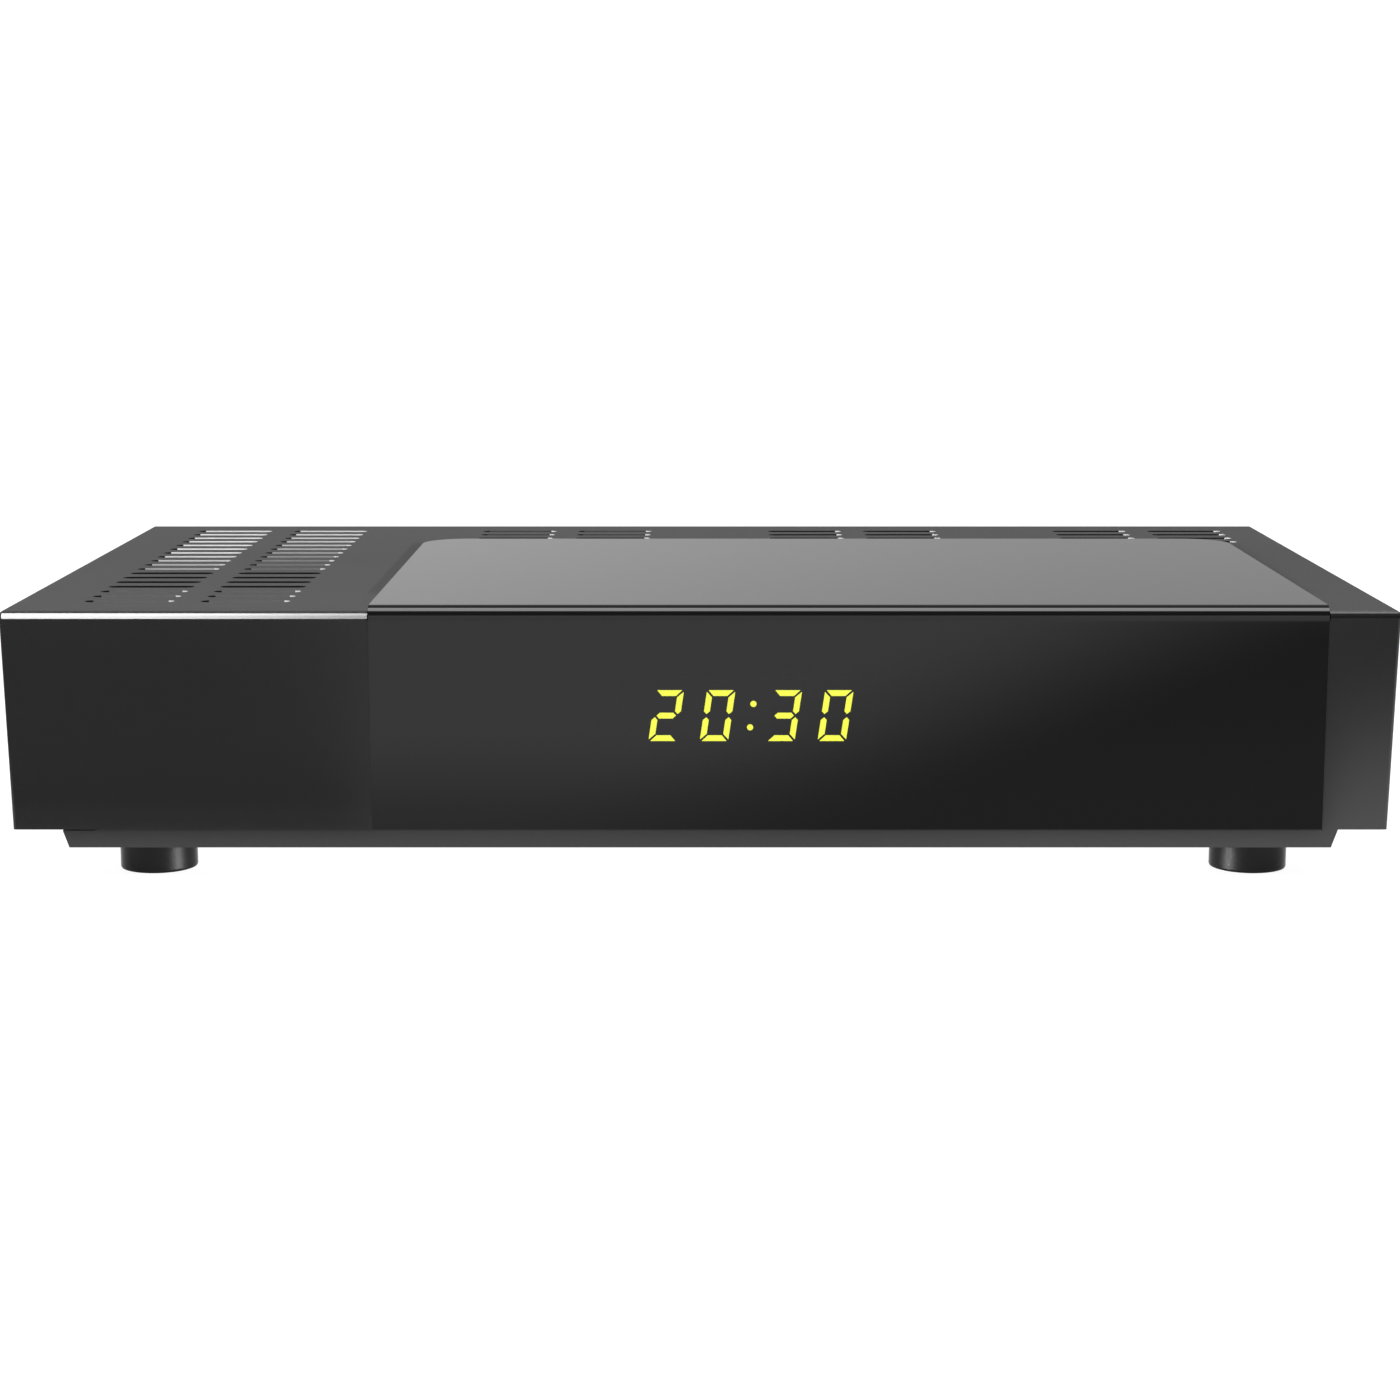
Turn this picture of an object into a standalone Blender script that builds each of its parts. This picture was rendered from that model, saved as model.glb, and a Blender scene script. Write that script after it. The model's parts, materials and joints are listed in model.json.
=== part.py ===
"""A satellite TV receiver: a steel hood and tray, a plastic front with a clock window that wraps over
the top, and the boards, sockets and power switch inside. Metres, +Z up, the front faces -Y, and the
origin is on the table under the middle of the whole part."""

import math

import bmesh
import bpy
from mathutils import Matrix, Vector

# Whole case
WIDTH = 0.2204
BODY_DEPTH = 0.126
HOOD_HEIGHT = 0.0349
LIP_HEIGHT = 0.0029
FOOT_HEIGHT = 0.0055
SIDE_DRAFT = 0.00096  # how far each side leans in from its top to its bottom
CORNER_RADIUS = 0.0005
SEAT_GAP = 0.0003  # between pieces that rest on each other
SEAM_GAP = 0.00015  # the fine joints of the front
OVERRUN = 0.002  # how far a cutter runs past what it cuts
HOLE_CLEARANCE = 0.0003
ROUND_SIDES = 24
SMALL_ROUND_SIDES = 16
FOOT_SIDES = 40
ARC_STEPS = 5
SMOOTH_ANGLE = math.radians(35)
SAME_POINT = 0.000001

# Steel hood
HOOD_SHEET = 0.0008
HOOD_FLANGE = 0.008
VENT_ROWS = 18
VENT_PAIRS = 4
VENT_LENGTH = 0.0145
VENT_WIDTH = 0.0023
VENT_COLUMN_PITCH = 0.0187
VENT_FRONT_MARGIN = 0.0127  # from the front face to the middle of the first row
VENT_BACK_MARGIN = 0.0093
VENT_LEFT_MARGIN = 0.0109
VENT_RIGHT_MARGIN = 0.0079
VENT_END_STEPS = 4

# Front: badge panel at the left, window in the middle, bezel behind both
FRONT_EDGE = 0.0012  # depth of the front's edge ahead of the hood, and thickness of its panels
FRONT_FILLET = 0.0011
BADGE_WIDTH = 0.05804
STRIP_WIDTH = 0.01137
LIP_TOP_INSET = 0.00883  # from the widest point of a side to the lip's end
LIP_SLANT = 0.00103
BEZEL_WALL = 0.00165
BEZEL_RIM_DEPTH = 0.006
BEZEL_RIM_WALL = 0.0015
PLATE_RISE = 0.00095  # the window's plate above the hood
PLATE_DEPTH = 0.0953
PLATE_CORNER_RADIUS = 0.008
PLATE_FILLET = 0.0016

# Tray and back
TRAY_SHEET = 0.001
TRAY_FLANGE = 0.009
PANEL_SHEET = 0.0008

# Feet and screws
FOOT_RADIUS = 0.0062
FOOT_FROM_SIDE = 0.0214
FOOT_SHIFT = 0.00048  # of all four feet, to the right
FOOT_FROM_END = 0.0114
FOOT_CHAMFER = 0.0005
FOOT_RECESS_DEPTH = 0.0024
SCREW_HEAD_RADIUS = 0.0026
SCREW_HEAD_HEIGHT = 0.0012
SCREW_HEAD_ROUND = 0.0005
SCREW_SHANK_RADIUS = 0.0012
SCREW_GRIP = 0.0025  # how far a shank runs past the sheet that it holds
COVER_SCREW_SHARES = {"left": -0.42, "middle": 0.0, "right": 0.42}  # of the width, from the middle
COVER_SCREW_DROP = 0.0043
BASE_SCREW_SHARES = {"left": -0.2, "right": 0.2}  # of the width, from the middle
TONGUE_WIDTH = 0.010  # of the bezel's tongues and the rear panel's tabs, which lie on the tray
TONGUE_LENGTH = 0.014
TONGUE_HEIGHT = 0.004

# Clock behind the window
CLOCK_FROM_WINDOW_LEFT = 0.0602
CLOCK_RISE = 0.0007  # above the middle of the front's height
CLOCK_WIDTH = 0.040
CLOCK_HEIGHT = 0.0136
CLOCK_FACE_THICKNESS = 0.0006
DIGIT_WIDTH = 0.00454
DIGIT_HEIGHT = 0.00822
DIGIT_SLANT = math.radians(8)
DIGIT_INNER_OFFSET = 0.00527  # from the clock's middle to the two digits beside the colon
DIGIT_PITCH = 0.00814
BAR_THICKNESS = 0.00098
BAR_GAP = 0.00014
BAR_CORNER = 0.00014  # cut off each sharp corner of a bar
BAR_RISE = 0.0003
COLON_RADIUS = 0.00052
COLON_SHIFT = 0.00014
COLON_RISE = 0.00188
LIT_BARS = ("abged", "abcdef", "abgcd", "abcdef")  # 20:30, each digit's lit bars

# Front board
FRONT_BOARD_WIDTH = 0.092
FRONT_BOARD_HEIGHT = 0.024
FRONT_BOARD_SHIFT = 0.014  # of its middle from the clock's
FRONT_BOARD_THICKNESS = 0.0016
POST_RADIUS = 0.0028
POST_INSET = 0.004
IR_FROM_CLOCK = 0.034
IR_WIDTH = 0.006
IR_HEIGHT = 0.007
IR_BODY_DEPTH = 0.0025
IR_LENS_RADIUS = 0.0022
IR_LENS_LENGTH = 0.001
IR_HOLE_RADIUS = 0.0032

# Ribbon cable and its two headers
HEADER_WIDTH = 0.014
HEADER_HEIGHT = 0.0075
HEADER_DEPTH = 0.006
RIBBON_WIDTH = 0.012
RIBBON_THICKNESS = 0.0008
RIBBON_BEND_SHARE = 0.6  # of the way across, where the cable's curve is pulled to
RIBBON_STEPS = 10

# Main board
BOARD_FRONT_MARGIN = 0.035
BOARD_BACK_GAP = 0.001
BOARD_THICKNESS = 0.0016
BOSS_HEIGHT = 0.005
BOSS_RADIUS = 0.003
BOSS_INSET = 0.004
BOARD_SCREW_CLEARANCE = 0.0019  # between a board screw's head and the end socket beside it
HEADER_INSET = 0.0045
HEATSINK_WIDTH = 0.024
HEATSINK_HEIGHT = 0.009
HEATSINK_BASE = 0.002
HEATSINK_FINS = 7
HEATSINK_FIN = 0.0011
PROCESSOR_WIDTH = 0.020
PROCESSOR_HEIGHT = 0.0018
PROCESSOR_SHARES = (0.50, 0.42)  # of the board's width and depth, from its front left corner
MEMORY_SIZE = (0.010, 0.013, 0.0012)
MEMORY_SHARES = {"memory_chip_front": (0.68, 0.31), "memory_chip_back": (0.68, 0.51)}
FLASH_SIZE = (0.006, 0.008, 0.0018)
FLASH_SHARES = (0.33, 0.30)
CRYSTAL_SIZE = (0.011, 0.0046, 0.0035)
CRYSTAL_SHARES = (0.33, 0.52)
CHIP_CHAMFER = 0.0003
REGULATOR_SIZE = (0.010, 0.009, 0.0042)
REGULATOR_SHARES = (0.88, 0.20)
INDUCTOR_SIZE = (0.009, 0.009, 0.005)
INDUCTOR_CHAMFER = 0.0018
INDUCTOR_SHARES = {"inductor_left": (0.10, 0.24), "inductor_right": (0.20, 0.24)}
CAPACITOR_RADIUS = 0.004
CAPACITOR_HEIGHT = 0.0115
CAPACITOR_GROOVE = 0.0004
CAPACITOR_GROOVE_RISE = 0.0016
CAPACITOR_EDGE = 0.0005
CAPACITOR_SHARES = {
    "capacitor_front_left": (0.09, 0.42),
    "capacitor_front_right": (0.18, 0.42),
    "capacitor_back_left": (0.09, 0.58),
    "capacitor_back_right": (0.18, 0.58),
}

# Sockets along the back, from the left
SOCKET_PROUD = 0.0006  # how far the flat sockets stand out of the back
SOCKET_END_SHARES = (0.306, 0.232)  # of the sockets' spare room, left and right of their row
DC_SIZE = (0.009, 0.014, 0.011)
DC_BORE_RADIUS = 0.0031
DC_BORE_DEPTH = 0.009
DC_PIN_RADIUS = 0.001
USB_SIZE = (0.0132, 0.014, 0.0064)
USB_WALL = 0.0005
USB_TONGUE = (0.0104, 0.0018)
HDMI_SIZE = (0.015, 0.012, 0.006)
HDMI_WALL = 0.0005
HDMI_TONGUE = (0.0116, 0.001)
SCART_SIZE = (0.047, 0.019, 0.0138)
SCART_WALL = 0.0008
SCART_TONGUE = (0.0428, 0.0096)
SCART_KEY = 0.003  # the slanted corner that keeps the plug the right way round
SOCKET_CAVITY_DEPTH = 0.0085
AUDIO_SIZE = (0.012, 0.010, 0.0125)
AUDIO_BARREL_RADIUS = 0.0042
AUDIO_BARREL_LENGTH = 0.0085
AUDIO_BORE_RADIUS = 0.0017
TUNER_SIZE = (0.028, 0.044, 0.0125)
TUNER_WALL = 0.0006
LNB_RADIUS = 0.00475
LNB_REACH = 0.011  # of the connector behind the case
LNB_BORE_RADIUS = 0.0011
LNB_BORE_DEPTH = 0.008
NUT_FLATS = 0.0125
NUT_THICKNESS = 0.002

# Power switch
SWITCH_FROM_SIDE = 0.0222
SWITCH_RISE = 0.0245  # of its middle above the table
SWITCH_FRAME = (0.0215, 0.0155)
SWITCH_FRAME_THICKNESS = 0.0015
SWITCH_BODY = (0.0192, 0.0130)
SWITCH_BODY_DEPTH = 0.0155
ROCKER_LENGTH = 0.014
ROCKER_HEIGHT = 0.0098
ROCKER_TILT = math.radians(8.5)
ROCKER_AXIS_DEPTH = 0.002  # of the axis ahead of the rear panel's outer face
ROCKER_PROUD = 0.0005  # of the pressed half from the switch's frame
ROCKER_SKIRT = 0.0025
ROCKER_CLEARANCE = 0.0004
ROCKER_PIN_RADIUS = 0.001
ROCKER_PIN_LENGTH = 0.0009
SWITCH_FLOOR_DEPTH = 0.005

# Worked out from the sizes above
FRONT = -(BODY_DEPTH + LNB_REACH) / 2
BACK = FRONT + BODY_DEPTH
HOOD_BOTTOM = FOOT_HEIGHT + LIP_HEIGHT
TOP = HOOD_BOTTOM + HOOD_HEIGHT
HALF = WIDTH / 2
WALL_FRONT = FRONT + FRONT_EDGE + SEAM_GAP
WALL_BACK = WALL_FRONT + BEZEL_WALL
RIM_BACK = WALL_BACK + BEZEL_RIM_DEPTH
HOOD_FRONT = WALL_FRONT + SEAM_GAP
PANEL_OUT = BACK - HOOD_SHEET - SEAT_GAP
PANEL_IN = PANEL_OUT - PANEL_SHEET
PLUG_INSET = HOOD_SHEET + SEAT_GAP
PLUG_TOP = TOP - PLUG_INSET
PLUG_BOTTOM = HOOD_BOTTOM + TRAY_SHEET + SEAT_GAP
RIM_BOTTOM = HOOD_BOTTOM + TRAY_FLANGE + SEAT_GAP
WINDOW_LEFT = -HALF + BADGE_WIDTH
WINDOW_RIGHT = HALF - STRIP_WIDTH
LIP_TOP_HALF = HALF - LIP_TOP_INSET
LIP_BOTTOM_HALF = LIP_TOP_HALF - LIP_SLANT
TRAY_FRONT = WALL_BACK + SEAT_GAP
TRAY_BACK = PANEL_IN - SEAT_GAP
TRAY_FLOOR = FOOT_HEIGHT + TRAY_SHEET
TONGUE_BOTTOM = TRAY_FLOOR + SEAT_GAP
BOARD_BOTTOM = TRAY_FLOOR + BOSS_HEIGHT + SEAT_GAP
BOARD_TOP = BOARD_BOTTOM + BOARD_THICKNESS
BOARD_SEAT = BOARD_TOP + SEAT_GAP
BOARD_END_MARGIN = BOSS_INSET + SCREW_HEAD_RADIUS + BOARD_SCREW_CLEARANCE
SOCKET_WIDTHS = {
    "dc": DC_SIZE[0],
    "usb": USB_SIZE[0],
    "hdmi": HDMI_SIZE[0],
    "scart": SCART_SIZE[0],
    "audio": AUDIO_SIZE[0],
    "tuner": TUNER_SIZE[0],
}
SWITCH_RIGHT = -HALF + SWITCH_FROM_SIDE + SWITCH_FRAME[0] / 2
SOCKETS_LIMIT = HALF - SIDE_DRAFT - PLUG_INSET - TRAY_SHEET - BOARD_END_MARGIN
SOCKETS_SPARE = SOCKETS_LIMIT - SWITCH_RIGHT - sum(SOCKET_WIDTHS.values())
SOCKETS_LEFT = SWITCH_RIGHT + SOCKETS_SPARE * SOCKET_END_SHARES[0]
SOCKETS_RIGHT = SOCKETS_LIMIT - SOCKETS_SPARE * SOCKET_END_SHARES[1]
BOARD_LEFT = SOCKETS_LEFT - BOARD_END_MARGIN
BOARD_RIGHT = SOCKETS_RIGHT + BOARD_END_MARGIN
BOARD_FRONT = FRONT + BOARD_FRONT_MARGIN
BOARD_BACK = PANEL_IN - BOARD_BACK_GAP
CLOCK_X = WINDOW_LEFT + CLOCK_FROM_WINDOW_LEFT
CLOCK_Z = HOOD_BOTTOM + HOOD_HEIGHT / 2 + CLOCK_RISE
FRONT_BOARD_FRONT = RIM_BACK + SEAT_GAP
FRONT_BOARD_BACK = FRONT_BOARD_FRONT + FRONT_BOARD_THICKNESS
FRONT_BOARD_X = CLOCK_X + FRONT_BOARD_SHIFT
IR_X = CLOCK_X + IR_FROM_CLOCK
SHANK_HOLE_RADIUS = SCREW_SHANK_RADIUS + HOLE_CLEARANCE
FRAME_FACE = PANEL_OUT + SEAT_GAP + SWITCH_FRAME_THICKNESS
ROCKER_AXIS = (-HALF + SWITCH_FROM_SIDE, PANEL_OUT - ROCKER_AXIS_DEPTH, SWITCH_RISE)
ROCKER_CENTRE_RISE = (FRAME_FACE + ROCKER_PROUD - ROCKER_AXIS[1]) / math.cos(ROCKER_TILT)
ROCKER_END_RISE = ROCKER_CENTRE_RISE + ROCKER_LENGTH / 2 * math.tan(ROCKER_TILT)

# Colour, roughness and metallic of each finish
FINISHES = {
    "painted_steel": ((0.105, 0.105, 0.108), 0.55, 0.0),
    "bare_steel": ((0.55, 0.55, 0.56), 0.35, 1.0),
    "matte_plastic": ((0.024, 0.024, 0.025), 0.45, 0.0),
    "satin_plastic": ((0.045, 0.045, 0.046), 0.35, 0.0),
    "gloss_window": ((0.010, 0.010, 0.011), 0.08, 0.0),
    "foot_plastic": ((0.022, 0.022, 0.023), 0.40, 0.0),
    "clock_light": ((1.0, 0.96, 0.05), 0.40, 0.0),
    "black_plastic": ((0.015, 0.015, 0.016), 0.40, 0.0),
    "white_plastic": ((0.72, 0.70, 0.64), 0.45, 0.0),
    "cable": ((0.30, 0.31, 0.33), 0.50, 0.0),
    "board": ((0.015, 0.11, 0.04), 0.40, 0.0),
    "chip": ((0.020, 0.020, 0.021), 0.45, 0.0),
    "aluminium": ((0.60, 0.61, 0.62), 0.40, 1.0),
    "tin": ((0.62, 0.61, 0.58), 0.30, 1.0),
    "nickel": ((0.60, 0.57, 0.52), 0.22, 1.0),
}


def clear_scene():
    for obj in list(bpy.data.objects):
        bpy.data.objects.remove(obj, do_unlink=True)


def material_for(name, finish):
    colour, roughness, metallic = FINISHES[finish]
    material = bpy.data.materials.new(name)
    material.use_nodes = True
    shader = material.node_tree.nodes["Principled BSDF"]
    shader.inputs["Base Color"].default_value = (*colour, 1.0)
    shader.inputs["Roughness"].default_value = roughness
    shader.inputs["Metallic"].default_value = metallic
    return material


def add_object(name, shape, finish=None, smooth=False):
    """Makes the object that holds this shape. With no finish it is a helper, kept out of renders."""
    bmesh.ops.recalc_face_normals(shape, faces=shape.faces)
    mesh = bpy.data.meshes.new(name)
    shape.to_mesh(mesh)
    shape.free()
    if smooth:
        mesh.shade_smooth()
        mesh.set_sharp_from_angle(angle=SMOOTH_ANGLE)
    obj = bpy.data.objects.new(name, mesh)
    bpy.context.scene.collection.objects.link(obj)
    if finish:
        mesh.materials.append(material_for(name, finish))
    else:
        obj.hide_render = True
        obj.display_type = "WIRE"
    return obj


def combine(obj, helper, operation):
    modifier = obj.modifiers.new(operation.lower(), "BOOLEAN")
    modifier.operation = operation
    modifier.solver = "EXACT"
    modifier.object = helper
    return obj


def cut(obj, shape):
    return combine(obj, add_object(obj.name + "_cutter", shape), "DIFFERENCE")


def join(obj, shape):
    return combine(obj, add_object(obj.name + "_addition", shape), "UNION")


def chamfer(obj, width):
    modifier = obj.modifiers.new("chamfer", "BEVEL")
    modifier.width = width
    modifier.segments = 1
    return obj


def block(low, high, shape=None):
    """A box between two corners, added to the shape if one is given."""
    shape = shape or bmesh.new()
    low, high = Vector(low), Vector(high)
    place = Matrix.Translation((low + high) / 2) @ Matrix.Diagonal((*(high - low), 1.0))
    bmesh.ops.create_cube(shape, size=1.0, matrix=place)
    return shape


def prism(outline, axis, start, end, shape=None):
    """An outline run along an axis. Its points are (x, z) along Y, (y, z) along X, (x, y) along Z."""
    shape = shape or bmesh.new()

    def place(point, along):
        a, b = point
        return {"X": (along, a, b), "Y": (a, along, b), "Z": (a, b, along)}[axis]

    near = [shape.verts.new(place(point, start)) for point in outline]
    far = [shape.verts.new(place(point, end)) for point in outline]
    made = [shape.faces.new(near), shape.faces.new(far[::-1])]
    for i in range(len(outline)):
        j = (i + 1) % len(outline)
        made.append(shape.faces.new((near[j], near[i], far[i], far[j])))
    bmesh.ops.recalc_face_normals(shape, faces=made)
    return shape


def turned(profile, centre, axis="Z", sides=ROUND_SIDES, shape=None):
    """A profile of (radius, distance along the axis) points, spun once round the axis."""
    made = bmesh.new()
    verts = [made.verts.new((radius, 0, along)) for radius, along in profile]
    edges = [made.edges.new(pair) for pair in zip(verts, verts[1:])]
    bmesh.ops.spin(
        made, geom=verts + edges, axis=(0, 0, 1), cent=(0, 0, 0), angle=math.tau, steps=sides
    )
    bmesh.ops.remove_doubles(made, verts=made.verts, dist=SAME_POINT)
    lay = Matrix.Rotation(-math.pi / 2, 4, "X") if axis == "Y" else Matrix()
    bmesh.ops.transform(made, matrix=Matrix.Translation(centre) @ lay, verts=made.verts)
    bmesh.ops.recalc_face_normals(made, faces=made.faces)
    if shape is None:
        return made
    mesh = bpy.data.meshes.new("turned")
    made.to_mesh(mesh)
    made.free()
    shape.from_mesh(mesh)
    bpy.data.meshes.remove(mesh)
    return shape


def rod(radius, centre, low, high, axis="Z", sides=ROUND_SIDES, shape=None):
    """A plain cylinder, from low to high along its axis as measured from the centre."""
    return turned([(0, low), (radius, low), (radius, high), (0, high)], centre, axis, sides, shape)


def arc(centre, radius, start, end, steps):
    """Points along an arc between two angles in radians."""
    turns = [start + (end - start) * i / steps for i in range(steps + 1)]
    return [
        (centre[0] + radius * math.cos(turn), centre[1] + radius * math.sin(turn)) for turn in turns
    ]


def offset_path(path, distance):
    """The path moved to its left, with mitred corners."""
    points = [Vector(point) for point in path]
    normals = [Vector((a.y - b.y, b.x - a.x)).normalized() for a, b in zip(points, points[1:])]
    moved = [points[0] + normals[0] * distance]
    for point, before, after in zip(points[1:], normals, normals[1:]):
        moved.append(point + (before + after) * distance / (1 + before.dot(after)))
    moved.append(points[-1] + normals[-1] * distance)
    return [tuple(point) for point in moved]


def sheet(path, thickness):
    """The outline of a bent sheet: the path, and back along the same path moved to its left."""
    return list(path) + offset_path(path, thickness)[::-1]


def round_corner(path, index, radius):
    """The path with one of its corners, which turn left, made an arc."""
    before, corner, after = (Vector(path[index + i]) for i in (-1, 0, 1))
    into, out = (corner - before).normalized(), (after - corner).normalized()
    turn = math.acos(into.dot(out))
    start = corner - into * radius * math.tan(turn / 2)
    centre = start + Vector((-into.y, into.x)) * radius
    points = [
        tuple(centre + Matrix.Rotation(turn * i / ARC_STEPS, 2) @ (start - centre))
        for i in range(ARC_STEPS + 1)
    ]
    return list(path[:index]) + points + list(path[index + 1 :])


def half_at(z):
    """Half the hood's width at a height."""
    return HALF - SIDE_DRAFT * (TOP - z) / HOOD_HEIGHT


def plug_half_at(z):
    """Half the width of what fits inside the hood."""
    return half_at(z) - PLUG_INSET


def mirrored(points):
    """The points, and then the same points on the other side, so that the outline closes."""
    return points + [(-x, z) for x, z in reversed(points)]


def end_plate_outline():
    """What closes each end of the case: inside the hood, and down over the end of the tray."""
    return mirrored(
        [
            (LIP_BOTTOM_HALF, FOOT_HEIGHT),
            (LIP_TOP_HALF, HOOD_BOTTOM),
            (LIP_TOP_HALF, PLUG_BOTTOM),
            (plug_half_at(PLUG_BOTTOM), PLUG_BOTTOM),
            (plug_half_at(PLUG_TOP), PLUG_TOP),
        ]
    )


def vent_centres():
    """The middle of every vent. The left pair of columns runs the whole depth, and the others have
    only the rows behind the window's plate."""
    pitch = (BODY_DEPTH - VENT_FRONT_MARGIN - VENT_BACK_MARGIN) / (VENT_ROWS - 1)
    pair_width = VENT_COLUMN_PITCH + VENT_LENGTH
    pair_pitch = (WIDTH - VENT_LEFT_MARGIN - VENT_RIGHT_MARGIN - pair_width) / (VENT_PAIRS - 1)
    first_column = -HALF + VENT_LEFT_MARGIN + VENT_LENGTH / 2
    for pair in range(VENT_PAIRS):
        for column in range(2):
            x = first_column + pair * pair_pitch + column * VENT_COLUMN_PITCH
            for row in range(VENT_ROWS):
                depth = VENT_FRONT_MARGIN + row * pitch
                if pair == 0 or depth - VENT_WIDTH > PLATE_DEPTH:
                    yield x, FRONT + depth


def vent_outline(x, y):
    reach = (VENT_LENGTH - VENT_WIDTH) / 2
    quarter = math.pi / 2
    right = arc((x + reach, y), VENT_WIDTH / 2, -quarter, quarter, VENT_END_STEPS)
    left = arc((x - reach, y), VENT_WIDTH / 2, quarter, 3 * quarter, VENT_END_STEPS)
    return right + left


def cover_screw_places():
    return [(WIDTH * share, TOP - COVER_SCREW_DROP) for share in COVER_SCREW_SHARES.values()]


def make_top_cover():
    path = [
        (half_at(HOOD_BOTTOM), HOOD_BOTTOM),
        (HALF, TOP),
        (-HALF, TOP),
        (-half_at(HOOD_BOTTOM), HOOD_BOTTOM),
    ]
    inside = offset_path(path, HOOD_SHEET)
    outside = round_corner(round_corner(path, 2, CORNER_RADIUS), 1, CORNER_RADIUS)
    cover = add_object(
        "top_cover", prism(outside + inside[::-1], "Y", HOOD_FRONT, BACK), "painted_steel", True
    )
    flange_bottom = TOP - HOOD_FLANGE
    flange_half = half_at(flange_bottom) - HOOD_SHEET / 2
    join(
        cover,
        block(
            (-flange_half, BACK - HOOD_SHEET, flange_bottom),
            (flange_half, BACK, TOP - HOOD_SHEET / 2),
        ),
    )
    holes = bmesh.new()
    for x, y in vent_centres():
        prism(vent_outline(x, y), "Z", TOP - HOOD_SHEET - OVERRUN, TOP + OVERRUN, holes)
    for x, z in cover_screw_places():
        ahead = -HOOD_SHEET - OVERRUN
        rod(SHANK_HOLE_RADIUS, (x, BACK, z), ahead, OVERRUN, "Y", SMALL_ROUND_SIDES, holes)
    cut(cover, holes)


def front_slab(outline, back):
    """A slab of the front: its top edge gets the big fillet, and its outer side the small one."""
    shape = prism(outline, "Y", FRONT, back)
    top_edge = [
        edge
        for edge in shape.edges
        if all(vert.co.y < back and vert.co.z > TOP - SAME_POINT for vert in edge.verts)
    ]
    bmesh.ops.bevel(
        shape, geom=top_edge, offset=FRONT_FILLET, segments=ARC_STEPS, profile=0.5, affect="EDGES"
    )

    def on_side(vert):
        z = vert.co.z
        return abs(abs(vert.co.x) - half_at(z)) < SAME_POINT and z > HOOD_BOTTOM - SAME_POINT

    side_edges = [
        edge
        for edge in shape.edges
        if all(map(on_side, edge.verts))
        and any(vert.co.y < back - SAME_POINT for vert in edge.verts)
        and any(vert.co.z > HOOD_BOTTOM + SAME_POINT for vert in edge.verts)
    ]
    bmesh.ops.bevel(
        shape, geom=side_edges, offset=CORNER_RADIUS, segments=2, profile=0.5, affect="EDGES"
    )
    return shape


def make_badge_panel():
    right = WINDOW_LEFT - SEAM_GAP
    outline = [
        (-half_at(HOOD_BOTTOM), HOOD_BOTTOM),
        (right, HOOD_BOTTOM),
        (right, TOP),
        (-HALF, TOP),
    ]
    add_object("badge_panel", front_slab(outline, FRONT + FRONT_EDGE), "matte_plastic", True)


def make_display_window():
    """One piece, L-shaped from the side: the front window, and the plate that lies on the hood."""
    top = TOP + PLATE_RISE
    under = TOP + SEAT_GAP
    back = FRONT + PLATE_DEPTH
    inner = FRONT + FRONT_EDGE
    rounding = arc((FRONT + PLATE_FILLET, top - PLATE_FILLET), PLATE_FILLET, math.pi, math.pi / 2, ARC_STEPS)
    profile = [(FRONT, HOOD_BOTTOM)] + rounding
    profile += [(back, top), (back, under), (inner, under), (inner, HOOD_BOTTOM)]
    window = add_object(
        "display_window", prism(profile, "X", WINDOW_LEFT, WINDOW_RIGHT), "gloss_window", True
    )
    corners = bmesh.new()
    for edge, side in ((WINDOW_LEFT, -1), (WINDOW_RIGHT, 1)):
        centre = (edge - side * PLATE_CORNER_RADIUS, back - PLATE_CORNER_RADIUS)
        start = math.pi if side < 0 else 0
        rounding = arc(centre, PLATE_CORNER_RADIUS, start, math.pi / 2, 2 * ARC_STEPS)
        outside = [
            (centre[0], back + OVERRUN),
            (edge + side * OVERRUN, back + OVERRUN),
            (edge + side * OVERRUN, centre[1]),
        ]
        prism(rounding + outside, "Z", TOP, top + OVERRUN, corners)
    cut(window, corners)


def front_post_places():
    reach = FRONT_BOARD_WIDTH / 2 - POST_INSET
    return {"left": (FRONT_BOARD_X - reach, CLOCK_Z), "right": (FRONT_BOARD_X + reach, CLOCK_Z)}


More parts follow.
